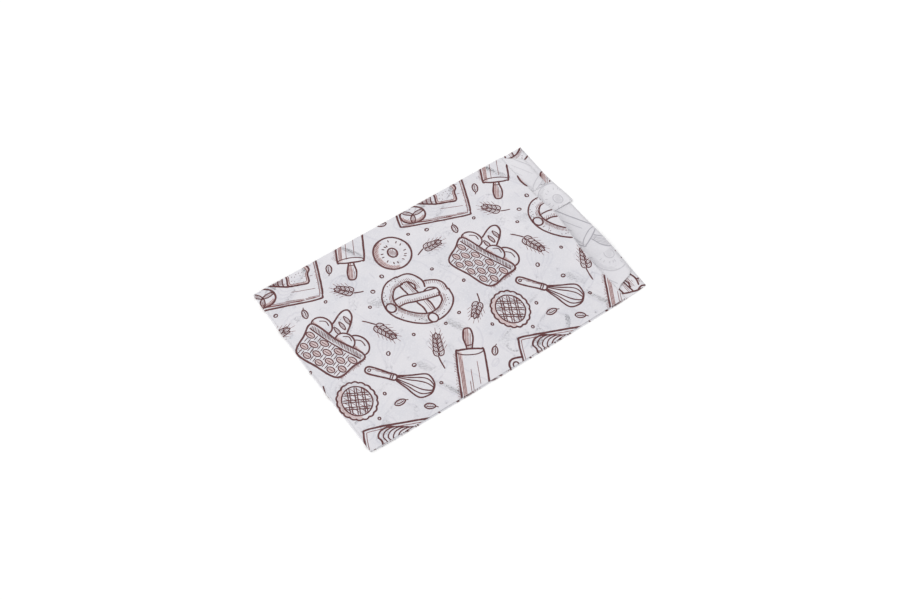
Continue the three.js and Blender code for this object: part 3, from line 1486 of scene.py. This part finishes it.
@dataclass
class Basket(Motif):
    """A woven basket with a long loaf and rolls in it."""

    wide: float = 42.0
    high: float = 19.0
    rows: int = 4
    stakes: int = 7

    def draw(self, sketch: Sketch) -> None:
        """Draws the long loaf, the rolls, then the basket before them.

        Args:
            sketch: The sketch to draw on.
        """
        loaf = curve([(-3, 0), (-1, 12), (3, 21), (8, 24), (11, 21), (10.5, 12), (8, 0)], True, 8)
        sketch.shape(loaf, 0.8)
        for level in (6, 11, 16):
            cut = curve([(0.6, level), (3.4, level + 2.4), (7.8, level + 2.6), (4.8, level + 0.4)], True, 5)
            sketch.line([*cut, cut[0]], 0.5)
            sketch.hatch(cut, 70, 0.8, 0.3)
        for x, y, wide in ((-13, 6, 8.5), (15, 5, 7.5), (-4.5, 4, 7)):
            roll = oval(wide, wide * 0.78, x, y, 8)
            sketch.shape(roll, 0.75)
            sketch.line(curve([(x - wide * 0.5, y + 2.5), (x, y + 4), (x + wide * 0.5, y + 2)]), 0.45)
            shade = oval(wide * 0.9, wide * 0.7, x, y, 8, 190, 350) + [(x, y - wide * 0.1)]
            sketch.tint(shade, 30)
            sketch.hatch(shade, 62, 0.9, 0.3)
        top, foot = self.wide / 2, self.wide * 0.39
        body = curve([(-top, 3), (-top * 0.94, -self.high * 0.4), (-foot, -self.high), (0, -self.high - 1),
                      (foot, -self.high), (top * 0.94, -self.high * 0.4), (top, 3), (0, 2)], True, 6)
        sketch.shape(body, 0.85)
        sketch.line(curve([(-top * 0.98, -0.6), (0, -1.8), (top * 0.98, -0.6)]), 0.6)
        rim = [(-top * 0.97, 2.4), (top * 0.97, 2.4), (top * 0.96, -0.8), (-top * 0.96, -0.8)]
        sketch.hatch(rim, 58, 1.0, 0.34, Ink.LINE, 0.15)
        pitch = (self.high - 2) / self.rows
        for row in range(self.rows):
            y = -2.2 - pitch * row
            half = top - (top - foot) * (-y / self.high) - 0.8
            step = 2 * half / self.stakes
            for column in range(self.stakes):
                x = -half + step * (column + 0.5)
                if (row + column) % 2:
                    for shift in (-0.22, 0.22):
                        stake = x + step * shift
                        sketch.line([(stake, y - 0.1), (stake, y - pitch * 0.85)], 0.42)
                    continue
                weave = oval(step * 0.56, pitch * 0.42, x, y - pitch * 0.48)
                sketch.tint(weave, 0)
                sketch.line(weave, 0.48)
                sketch.line([(x - step * 0.4, y - pitch * 0.5), (x + step * 0.4, y - pitch * 0.5)], 0.3)
        near_side = curve([(-top, 2), (-top * 0.94, -self.high * 0.4), (-foot, -self.high)])
        sketch.ticks(near_side[::-1], 2.6, 1.0, 12)


def hull_of(points: list[Point]) -> list[Point]:
    """Finds the convex outline round points.

    Args:
        points: The points.

    Returns:
        The outline.
    """
    ordered = sorted(set(points))

    def half(run: Iterable[Point]) -> list[Point]:
        """Finds one side of the outline.

        Args:
            run: The points in order.

        Returns:
            That side.
        """
        chain: list[Point] = []
        for p in run:
            while len(chain) > 1 and (
                (chain[-1][0] - chain[-2][0]) * (p[1] - chain[-2][1])
                - (chain[-1][1] - chain[-2][1]) * (p[0] - chain[-2][0])
            ) <= 0:
                chain.pop()
            chain.append(p)
        return chain[:-1]

    return half(ordered) + half(reversed(ordered))


@dataclass
class Placed:
    """A motif's place in the repeat, across and along, and its turned strokes about that place."""

    s: float
    u: float
    strokes: list[Stroke]


@dataclass
class Scatter:
    """Scatters motifs over the repeat so that none touches another.

    The repeat is divided into cells, and each motif takes the cells that its
    strokes cross and the cells around them.
    """

    across: float
    along: float
    cell: float = 2.0
    seed: int = 5
    tries: int = 240
    taken: set[tuple[int, int]] = field(default_factory=set)
    placed: list[Placed] = field(default_factory=list)

    def __post_init__(self) -> None:
        """Starts the scatter's own random numbers."""
        self.random = random.Random(self.seed)
        self.columns = round(self.across / self.cell)
        self.rows = round(self.along / self.cell)

    def _cells(self, strokes: list[Stroke], s: float = 0.0, u: float = 0.0) -> set[tuple[int, int]]:
        """Finds the cells that strokes cross.

        Args:
            strokes: The strokes.
            s: How far they are moved across.
            u: How far they are moved along.

        Returns:
            The cells.
        """
        return {
            (int((s + x) // self.cell) % self.columns, int((u + y) // self.cell) % self.rows)
            for stroke in strokes for x, y in stroke.points
        }

    def _spread(self, cells: set[tuple[int, int]], reach: int) -> set[tuple[int, int]]:
        """Adds the cells around a set of cells.

        Args:
            cells: The cells.
            reach: How many cells to each side.

        Returns:
            All of them.
        """
        return {
            ((column + dx) % self.columns, (row + dy) % self.rows)
            for column, row in cells
            for dx in range(-reach, reach + 1) for dy in range(-reach, reach + 1)
        }

    def _room(self, s: float, u: float) -> float:
        """Measures the distance to the nearest motif's middle.

        Args:
            s: Place across.
            u: Place along.

        Returns:
            The distance.
        """
        nearest = self.across
        for other in self.placed:
            ds = abs(s - other.s) % self.across
            du = abs(u - other.u) % self.along
            nearest = min(nearest, math.hypot(min(ds, self.across - ds), min(du, self.along - du)))
        return nearest

    def add(self, motif: Motif, turn: float, margin: int = 1, fixed: Point | None = None) -> None:
        """Places a motif where it has most room.

        Args:
            motif: The motif.
            turn: Degrees that it is turned by.
            margin: Free cells kept around it.
            fixed: Its place, if it is given one.
        """
        strokes = [
            Stroke(turned(drawn.points, turn), drawn.width, drawn.ink)
            for drawn in motif.strokes(len(self.placed) * 7 + 1)
        ]
        best: tuple[float, float, float] | None = None
        if fixed:
            best = (0.0, *fixed)
        for _ in range(0 if fixed else self.tries):
            s, u = self.random.random() * self.across, self.random.random() * self.along
            if self._cells(strokes, s, u) & self.taken:
                continue
            room = self._room(s, u)
            if best is None or room > best[0]:
                best = (room, s, u)
        if best is None:
            LOG.info("no room for %s", type(motif).__name__)
            return
        _, s, u = best
        self.placed.append(Placed(s, u, strokes))
        own = self._cells(strokes, s, u)
        xs = [x for stroke in strokes for x, _ in stroke.points]
        filled = hull_of([point for stroke in strokes for point in stroke.points])
        x = min(xs)
        while x < max(xs):
            own |= self._cells([Stroke([(x, y) for y in self._levels(filled, x)], 1)], s, u)
            x += self.cell
        self.taken |= self._spread(own, margin)

    def _levels(self, outline: list[Point], x: float) -> list[float]:
        """Finds the heights inside an outline, one cell apart.

        Args:
            outline: The outline.
            x: Place across.

        Returns:
            The heights.
        """
        ys = [y for _, y in outline]
        count = int((max(ys) - min(ys)) / self.cell) + 1
        levels = [min(ys) + index * self.cell for index in range(count)]
        return [y for y in levels if inside((x, y), outline)]


@dataclass
class PrintRepeat:
    """The print's repeat across and along the sheet."""

    across: float = 148.0
    along: float = 118.0
    seed: int = 5
    sprigs: int = 5
    grains: int = 6
    seeds: int = 18
    basket_at: Point = (94.0, 24.0)
    basket_turn: float = -20.0
    motif_reach: float = 45.0
    flap_room: float = 15.0

    def motifs(self) -> list[Placed]:
        """Scatters the drawings of one repeat.

        Returns:
            The placed drawings.
        """
        scatter = Scatter(self.across, self.along, seed=self.seed)
        scatter.add(Basket(), self.basket_turn, 1, self.basket_at)
        for motif, turn in (
            (RollingPin(54, 18, 14), 28), (BoardLoaf(), -68), (Pretzel(size=1.05), -40), (Whisk(), 52),
            (LatticeTart(13.5), 0), (RingRoll(14), 0),
        ):
            scatter.add(motif, turn)
        for index in range(self.sprigs):
            long = 24.0 if index % 2 else 17.0
            scatter.add(OatSprig(long, 5 if index % 2 else 4), -130 + 67 * index, 0)
        for index in range(self.grains):
            scatter.add(Grain(6.4 + 0.5 * (index % 3)), 40 + 83 * index, 1)
        for index in range(self.seeds):
            scatter.add(Seed(0.95 + 0.35 * (index % 4 == 0)), 53 * index, 1)
        return scatter.placed

    def strokes(self, wide: float, long: float) -> list[Stroke]:
        """Draws the repeat over the whole sheet.

        Args:
            wide: Width of the sheet.
            long: Length of the sheet, with its flap.

        Returns:
            All strokes, in places on the sheet.
        """
        room = self.motif_reach
        result: list[Stroke] = []
        for item in self.motifs():
            for column in range(-1, math.ceil(wide / self.across) + 1):
                for row in range(-1, math.ceil(long / self.along) + 1):
                    s = item.s + column * self.across
                    u = item.u + row * self.along
                    if -room < s < wide + room and -room - self.flap_room < u < long + room:
                        result += [
                            Stroke([(s + x, u + y) for x, y in stroke.points], stroke.width, stroke.ink)
                            for stroke in item.strokes
                        ]
        return result


class MeshBench:
    """Collects vertices and faces for one piece."""

    def __init__(self) -> None:
        """Starts an empty mesh."""
        self.points: list[Vector] = []
        self.faces: list[tuple[int, ...]] = []
        self.slots: list[int] = []
        self.shades: list[float] = []

    def ribbon(self, rows: list[list[Vector]], slot: int, shades: tuple[float, ...]) -> None:
        """Adds a strip of quads.

        Args:
            rows: The points across the strip, row by row along it.
            slot: Material slot.
            shades: The shade attribute of the points in a row.
        """
        first = len(self.points)
        width = len(shades)
        for row in rows:
            self.points += row
            self.shades += shades
        for row_index in range(len(rows) - 1):
            for column in range(width - 1):
                a = first + row_index * width + column
                self.faces.append((a, a + 1, a + width + 1, a + width))
                self.slots.append(slot)

    def build(self, name: str, materials: list[bpy.types.Material], shaded: bool = False) -> bpy.types.Object:
        """Makes the object.

        Args:
            name: Name of the piece.
            materials: Its materials, by slot.
            shaded: Whether the mesh carries the shade attribute.

        Returns:
            The new object, linked to the scene.
        """
        mesh = bpy.data.meshes.new(name)
        mesh.from_pydata([tuple(p) for p in self.points], [], self.faces)
        for material in materials:
            mesh.materials.append(material)
        mesh.polygons.foreach_set("material_index", self.slots)
        mesh.polygons.foreach_set("use_smooth", [True] * len(self.faces))
        if shaded:
            attribute = mesh.attributes.new("shade", "FLOAT", "POINT")
            attribute.data.foreach_set("value", self.shades)
        mesh.update()
        piece = bpy.data.objects.new(name, mesh)
        bpy.context.scene.collection.objects.link(piece)
        return piece


@dataclass
class PaperBag:
    """The folded sheet as one thin piece with a printed and an inner face."""

    sheet: FoldedSheet
    finish: PaperFinish
    # The inner face's paper, a copy of the paper painted lighter as painted light.
    inside: PaperFinish
    cell: float = 2.4
    fold_steps: int = 6
    near_fold: tuple[float, ...] = (0.3, 0.7, 1.2, 1.8)
    end_from: float = 184.0
    end_steps: int = 12
    base_columns: int = 54
    base_steps: int = 12
    flap_run: float = 12.0
    flap_shares: tuple[float, ...] = (0.66, 0.33, 0.0)
    body_start: float = 0.9
    nudge: float = 1e-4

    def _lines_across(self) -> list[float]:
        """Finds where the mesh has lines across the sheet.

        Returns:
            Their places.
        """
        lines: list[float] = []
        for span in self.sheet.spans:
            steps = self.fold_steps if span.towards else math.ceil(span.length / self.cell)
            lines += [span.start + span.length * index / steps for index in range(steps)]
            if not span.towards:
                lines += [span.start + near for near in self.near_fold]
                lines += [span.start + span.length - near for near in self.near_fold]
        return sorted([*lines, self.sheet.across])

    def _lines_along(self, s: float) -> list[float]:
        """Finds the points of one line along the sheet.

        Args:
            s: Place across the sheet.

        Returns:
            Their places along it.
        """
        start, shared = self.sheet.bead_radius * self.body_start, self.end_from
        mouth = self.sheet.mouth(s)
        steps = math.ceil((shared - start) / self.cell)
        body = [start + (shared - start) * index / steps for index in range(steps)]
        end = [shared + (mouth - shared) * index / self.end_steps for index in range(self.end_steps + 1)]
        return body + end

    def build(self) -> bpy.types.Object:
        """Builds the sheet, its base fold and their thickness.

        Returns:
            The bag's piece.
        """
        sheet = self.sheet
        bench = MeshBench()
        lines = self._lines_across()
        columns = [[sheet.place(s, u) for u in self._lines_along(s)] for s in lines]
        rows = [list(row) for row in zip(*columns)]
        # The inner face's shade attribute paints shade on the back's near half and the upper gusset halves,
        # by layer.
        bench.ribbon(rows, 0, tuple(INNER_PAINTED_SHADE.get(sheet.span_at(s).layer, 0.0) for s in lines))
        self._base_fold(bench)
        inner = ShowThroughFinish(GHOST_INSIDE, self.inside).material("bakery_paper_inside")
        piece = bench.build("bag_paper", [inner, self.finish.material("bakery_paper")], True)
        shell = piece.modifiers.new("thickness", "SOLIDIFY")
        shell.material_offset = 1
        shell.thickness = sheet.paper * MM
        shell.offset = 0
        return piece

    def _base_fold(self, bench: MeshBench) -> None:
        """Adds the rounded fold at the base and the flap under the back.

        Args:
            bench: The mesh that takes them.
        """
        sheet = self.sheet
        front = sheet.front
        columns, steps = self.base_columns, self.base_steps
        across = [front.start + front.length * index / columns for index in range(columns + 1)]
        across[0] += self.nudge
        bead = sheet.bead_radius
        stops = [bead - math.pi * bead * index / steps for index in range(steps + 1)]
        stops += [bead - sheet.wrap + self.flap_run * share for share in self.flap_shares]
        stops[0] -= self.nudge
        rows = [[sheet.place(s, u) for s in across] for u in stops]
        bench.ribbon(rows, 0, (0.0,) * len(across))


@dataclass
class BagPrint:
    """The brown drawing on the sheet's printed face, and what shows through."""

    sheet: FoldedSheet
    strokes: list[Stroke]
    paper: PaperFinish
    # The inner face's paper, a copy of the paper painted lighter as painted light.
    inside: PaperFinish

    # The printed strokes
    lift: float = 0.035
    ink_step: float = 0.012
    step: float = 0.8
    line_press: float = 1.55
    hatch_press: float = 1.22
    closed_within: float = 0.3
    end_width: float = 0.62
    end_growth: float = 0.2
    uneven: float = 0.16
    patch: float = 3.2

    # Points where the sheet bends
    fold_step: float = 0.17
    base_step: float = 0.27
    bend_room: float = 0.3
    bend_from: float = -3.0
    bend_to: float = 1.5

    # Where ink is seen from outside
    edge_room: float = 0.9
    base_room: float = 1.5
    fold_strip: float = 2.5
    hidden_below: float = 168.0
    clear_of_edge: float = 0.12
    seam_edge: float = 0.2
    inner_edge: float = 0.3

    # The print seen from the inside and through the front
    inner_soft: float = 0.45
    raised_shade: float = 0.5
    hatch_shade: float = 0.7
    through_lift: float = 0.005
    through_step: float = 1.6
    through_from: float = 2.5
    through_edge: float = 1.2
    gusset_shade: float = 0.25
    back_shade: float = 0.17

    def _bend(self, ends: list[Point]) -> float:
        """Finds how close points have to lie for a stroke to follow the sheet.

        Args:
            ends: The ends or corners of a short piece of the stroke.

        Returns:
            The greatest distance between two points, or 0 where the sheet is flat.
        """
        low = min(s for s, _ in ends) - self.bend_room
        high = max(s for s, _ in ends) + self.bend_room
        folds = (span for span in self.sheet.spans if span.towards)
        if any(low < fold.start + fold.length and high > fold.start for fold in folds):
            return self.fold_step
        return self.base_step if any(self.bend_from < u < self.bend_to for _, u in ends) else 0.0

    def _dense(self, points: list[Point], step: float) -> list[Point]:
        """Gives a stroke extra points where the sheet bends.

        Args:
            points: The stroke.
            step: Longest piece elsewhere.

        Returns:
            Its points.
        """
        result: list[Point] = []
        rough = resample(points, step)
        for (sa, ua), (sb, ub) in zip(rough, rough[1:]):
            bend = self._bend([(sa, ua), (sb, ub)])
            count = math.ceil(step / bend) if bend else 1
            ds, du = sb - sa, ub - ua
            result += [(sa + ds * index / count, ua + du * index / count) for index in range(count)]
        result.append(rough[-1])
        return result

    def _shown(self, s: float, u: float) -> bool:
        """Tells whether ink can be seen from outside.

        Args:
            s: Place across the sheet.
            u: Place along the sheet.

        Returns:
            True if it can.
        """
        sheet = self.sheet
        if not self.seam_edge < s < sheet.across - self.seam_edge:
            return False
        span, front = sheet.span_at(s), sheet.front
        at_fold = abs(sheet.y_of(span, s)) > sheet.fold_at - self.fold_strip
        low = self.hidden_below if span.layer in TUCKED and not at_fold else sheet.lowest(s)
        if u < sheet.bead_radius * self.base_room and span is not front:
            return False
        if u < sheet.bead_radius and not self.edge_room < s - front.start < front.length - self.edge_room:
            return False
        return low < u < sheet.mouth(s) - self.clear_of_edge

    def _press(self, stroke: Stroke) -> float:
        """Returns the printed width of a stroke."""
        share = {Ink.LINE: self.line_press, Ink.HATCH: self.hatch_press, Ink.TINT: 1.0}[stroke.ink]
        return stroke.width * share

    def _sides(self, run: list[Point], width: float) -> list[tuple[Point, Point]]:
        """Finds the two sides of a stroke, thinner towards its ends.

        Args:
            run: The stroke's middle.
            width: Its width.

        Returns:
            A left and a right point for each of its points.
        """
        sides = []
        closed = math.dist(run[0], run[-1]) < self.closed_within
        for index, (s, u) in enumerate(run):
            sa, ua = run[max(index - 1, 0)]
            sb, ub = run[min(index + 1, len(run) - 1)]
            size = math.hypot(sb - sa, ub - ua) or 1
            from_end = min(index, len(run) - 1 - index)
            taper = 1.0 if closed else min(1.0, self.end_width + self.end_growth * from_end)
            press = 1 + self.uneven * noise.noise(Vector((s / self.patch, u / self.patch, 1.7)))
            half = width / 2 * taper * press
            ds, du = -(ub - ua) / size * half, (sb - sa) / size * half
            sides.append(((s + ds, u + du), (s - ds, u - du)))
        return sides

    def _lay(self, bench: MeshBench, sides: list[tuple[Point, Point]], off: float, slot: int) -> None:
        """Lays a stroke on the sheet, with more points across it where the sheet bends.

        Args:
            bench: The mesh that takes the stroke.
            sides: The stroke's two sides, point by point.
            off: Distance from the sheet's middle.
            slot: Material slot of the ink.
        """
        bent = [self._bend([*first, *second]) for first, second in zip(sides, sides[1:])]
        start = 0
        for index in range(1, len(bent) + 1):
            if index < len(bent) and bent[index] == bent[start]:
                continue
            part = sides[start:index + 1]
            widest = max(math.dist(left, right) for left, right in part)
            steps = math.ceil(widest / bent[start]) if bent[start] else 1
            rows = [
                [
                    self.sheet.place(sa + (sb - sa) * step / steps, ua + (ub - ua) * step / steps, off)
                    for step in range(steps + 1)
                ]
                for (sa, ua), (sb, ub) in part
            ]
            bench.ribbon(rows, slot, (1.0,) * (steps + 1))
            start = index

    def printed(self) -> bpy.types.Object:
        """Builds the drawing on the printed face.

        Returns:
            The print's piece.
        """
        bench = MeshBench()
        half = self.sheet.paper / 2
        for stroke in self.strokes:
            lift = half + self.lift - self.ink_step * stroke.ink.value
            for run in stretches(self._dense(stroke.points, self.step), self._shown):
                self._lay(bench, self._sides(run, self._press(stroke)), lift, stroke.ink.value)
        inks = [finish.material("ink_" + ink.name.lower()) for ink, finish in INK_FINISHES.items()]
        return bench.build("bag_print", inks)

    def reverse(self) -> bpy.types.Object:
        """Builds the mirrored print that shows on the inside of the lip and gussets.

        Returns:
            The piece.
        """
        bench = MeshBench()
        off = -(self.sheet.paper / 2 + self.lift)

        def keep(s: float, u: float) -> bool:
            """Tells whether the inner face shows at a place.

            Args:
                s: Place across the sheet.
                u: Place along the sheet.

            Returns:
                True if it does.
            """
            if not self.inner_edge < s < self.sheet.across - self.inner_edge:
                return False
            layer = self.sheet.span_at(s).layer
            open_layers = (Layer.BACK_NEAR, Layer.BACK_FAR, Layer.GUSSET_NEAR_HIGH, Layer.GUSSET_FAR_HIGH)
            return layer in open_layers and self.hidden_below < u < self.sheet.mouth(s) - self.clear_of_edge

        for stroke in self.strokes:
            if stroke.ink is Ink.TINT:
                continue
            for run in stretches(self._dense(stroke.points, self.step), keep):
                layer = self.sheet.span_at(run[0][0]).layer
                shade = 1.0 if layer is Layer.BACK_NEAR else self.raised_shade
                shade *= 1.0 if stroke.ink is Ink.LINE else self.hatch_shade
                # The mirrored print's sides take the painted shade of the inner face beside them.
                tone = INNER_PAINTED_SHADE.get(layer, 0.0)
                self._soft(bench, run, stroke.width + self.inner_soft, off, shade, tone)
        finish = ShowThroughFinish(GHOST_INSIDE, self.inside)
        return bench.build("print_seen_inside", [finish.material("paper_show_through_inside")], True)

    def through_front(self) -> bpy.types.Object:
        """Builds the faint print of the layers beneath, seen through the front panel.

        Returns:
            The piece.
        """
        bench = MeshBench()
        sheet = self.sheet
        off = sheet.paper / 2 + self.through_lift
        depth = {
            Layer.GUSSET_NEAR_HIGH: self.gusset_shade, Layer.GUSSET_FAR_HIGH: self.gusset_shade,
            Layer.BACK_NEAR: self.back_shade, Layer.BACK_FAR: self.back_shade,
        }

        def keep(s: float, u: float) -> bool:
            """Tells whether the layer at a place lies under the front panel.

            Args:
                s: Place across the sheet.
                u: Place along the sheet.

            Returns:
                True if it does.
            """
            if not self.inner_edge < s < sheet.across - self.inner_edge:
                return False
            span = sheet.span_at(s)
            y = sheet.y_of(span, s)
            if span.layer not in depth or not self.through_from < u < sheet.front_mouth - self.through_edge:
                return False
            return "gusset" in span.layer.value or abs(y) < sheet.tuck_at - 1

        for stroke in self.strokes:
            if len(stroke.points) < (6 if stroke.ink is Ink.LINE else 10):
                continue
            softness, share = (0.9, 1.0) if stroke.ink is Ink.LINE else (1.3, 0.4)
            for run in stretches(resample(stroke.points, self.through_step), keep):
                span = sheet.span_at(run[0][0])
                if any(sheet.span_at(s) is not span for s, _ in run):
                    continue
                moved = [(sheet.front.start + sheet.fold_at + sheet.y_of(span, s), u) for s, u in run]
                self._soft(bench, moved, stroke.width + softness, off, depth[span.layer] * share)
        finish = ShowThroughFinish(GHOST_THROUGH, self.paper)
        return bench.build("print_seen_through", [finish.material("paper_show_through")], True)

    def _soft(self, bench: MeshBench, run: list[Point], width: float, off: float, shade: float,
              edge: float = 0.0) -> None:
        """Adds a stroke that fades towards its sides.

        Args:
            bench: The mesh that takes the stroke.
            run: The stroke's points on the sheet.
            width: Its width.
            off: Distance from the sheet's middle.
            shade: The shade attribute along its middle.
            edge: The shade attribute of the paper beside it, which holds the inner face's painted shade where
                there is one.
        """
        rows = [
            [self.sheet.place(*point, off) for point in (left, middle, right)]
            for middle, (left, right) in zip(run, self._sides(run, width))
        ]
        bench.ribbon(rows, 0, (edge, shade, edge))


def background_rays(tree: bpy.types.NodeTree) -> bpy.types.NodeSocket:
    """Picks out the rays that see the background itself.

    Args:
        tree: The node tree of the floor or the world.

    Returns:
        A socket that is 1 for camera, glossy and transmission rays.
    """
    path = tree.nodes.new("ShaderNodeLightPath")
    seen = path.outputs["Is Camera Ray"]
    for name in ("Is Glossy Ray", "Is Transmission Ray"):
        either = tree.nodes.new("ShaderNodeMath")
        either.operation = "MAXIMUM"
        tree.links.new(seen, either.inputs[0])
        tree.links.new(path.outputs[name], either.inputs[1])
        seen = either.outputs[0]
    return seen


@dataclass(frozen=True)
class Studio:
    """A white floor under plain soft light, and the camera."""

    lens: float = 64.5
    azimuth: float = -34.76
    elevation: float = 57.02
    distance: float = 1.0528
    target: tuple[float, float, float] = (-0.00533, -0.00595, 0.0)
    floor_size: float = 8.0
    floor_glow: float = 0.05
    floor_below: float = 0.0001
    sky: float = 0.84
    lamp: float = 0.62
    lamp_spread: float = 48.0
    lamp_from: tuple[float, float, float] = (-0.45, 0.55, 1.0)

    def camera(self) -> bpy.types.Object:
        """Places the camera at the photograph's angle.

        Returns:
            The camera.
        """
        a, e = math.radians(self.azimuth), math.radians(self.elevation)
        back = Vector((math.sin(a) * math.cos(e), -math.cos(a) * math.cos(e), math.sin(e)))
        data = bpy.data.cameras.new("camera")
        data.lens = self.lens
        data.sensor_width = 36.0
        data.clip_start, data.clip_end = 0.01, 50.0
        camera = bpy.data.objects.new("camera", data)
        camera.location = Vector(self.target) + back * self.distance
        camera.rotation_mode = "QUATERNION"
        camera.rotation_quaternion = back.to_track_quat("Z", "Y")
        bpy.context.scene.collection.objects.link(camera)
        bpy.context.scene.camera = camera
        return camera

    def floor(self) -> bpy.types.Object:
        """Lays the white floor.

        Returns:
            The floor.
        """
        half = self.floor_size / 2
        sides = ((-1, -1), (1, -1), (1, 1), (-1, 1))
        corners = [(half * x, half * y, -self.floor_below) for x, y in sides]
        mesh = bpy.data.meshes.new("floor")
        mesh.from_pydata(corners, [], [(0, 1, 2, 3)])
        desk = NodeDesk("floor_white")
        desk.shader.inputs["Base Color"].default_value = (1, 1, 1, 1)
        desk.shader.inputs["Roughness"].default_value = 1.0
        desk.shader.inputs["Specular IOR Level"].default_value = 0.0
        glow = desk.add("ShaderNodeMath", operation="MULTIPLY")
        glow.inputs[1].default_value = self.floor_glow
        desk.link(background_rays(desk.tree), glow.inputs[0])
        desk.shader.inputs["Emission Color"].default_value = (1, 1, 1, 1)
        desk.link(glow.outputs[0], desk.shader.inputs["Emission Strength"])
        mesh.materials.append(desk.material)
        floor = bpy.data.objects.new("floor", mesh)
        bpy.context.scene.collection.objects.link(floor)
        return floor

    def light(self) -> None:
        """Lights the scene with an even sky and one soft lamp from the upper left."""
        world = bpy.data.worlds.new("sky")
        world.use_nodes = True
        tree = world.node_tree
        tree.nodes.clear()
        plain = tree.nodes.new("ShaderNodeBackground")
        plain.inputs["Color"].default_value = (1, 1, 1, 1)
        plain.inputs["Strength"].default_value = self.sky
        seen = tree.nodes.new("ShaderNodeBackground")
        seen.inputs["Color"].default_value = (1, 1, 1, 1)
        seen.inputs["Strength"].default_value = 1.0
        mix = tree.nodes.new("ShaderNodeMixShader")
        output = tree.nodes.new("ShaderNodeOutputWorld")
        tree.links.new(background_rays(tree), mix.inputs[0])
        tree.links.new(plain.outputs[0], mix.inputs[1])
        tree.links.new(seen.outputs[0], mix.inputs[2])
        tree.links.new(mix.outputs[0], output.inputs[0])
        bpy.context.scene.world = world
        data = bpy.data.lights.new("soft_lamp", "SUN")
        data.energy = self.lamp
        data.angle = math.radians(self.lamp_spread)
        lamp = bpy.data.objects.new("soft_lamp", data)
        lamp.rotation_euler = Vector(self.lamp_from).to_track_quat("Z", "Y").to_euler()
        bpy.context.scene.collection.objects.link(lamp)


def main() -> None:
    """Builds the bag, its print and the studio in order."""
    logging.basicConfig(level=logging.INFO, format="%(message)s")
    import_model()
    bpy.context.scene.view_settings.view_transform = "Standard"
    studio = Studio()
    studio.camera()
    studio.floor()
    studio.light()

    sheet = FoldedSheet()
    paper = PaperFinish()
    # The inner face is the same paper painted lighter, as painted light on the inside of the lip.
    inner_paper_painted_light = PaperFinish(colour=(0.765, 0.752, 0.785), cloud=(0.70, 0.69, 0.73), fibre=(0.80, 0.79, 0.82))
    bag = PaperBag(sheet, paper, inner_paper_painted_light).build()
    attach(bag, "root")
    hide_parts("paper_bag")
    LOG.info("bag_paper: %d faces", len(bag.data.polygons))

    strokes = PrintRepeat().strokes(sheet.across, sheet.length)
    drawing = BagPrint(sheet, strokes, paper, inner_paper_painted_light)
    for piece in (drawing.printed(), drawing.reverse(), drawing.through_front()):
        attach(piece, "root")
        LOG.info("%s: %d faces", piece.name, len(piece.data.polygons))


if __name__ == "__main__":
    main()
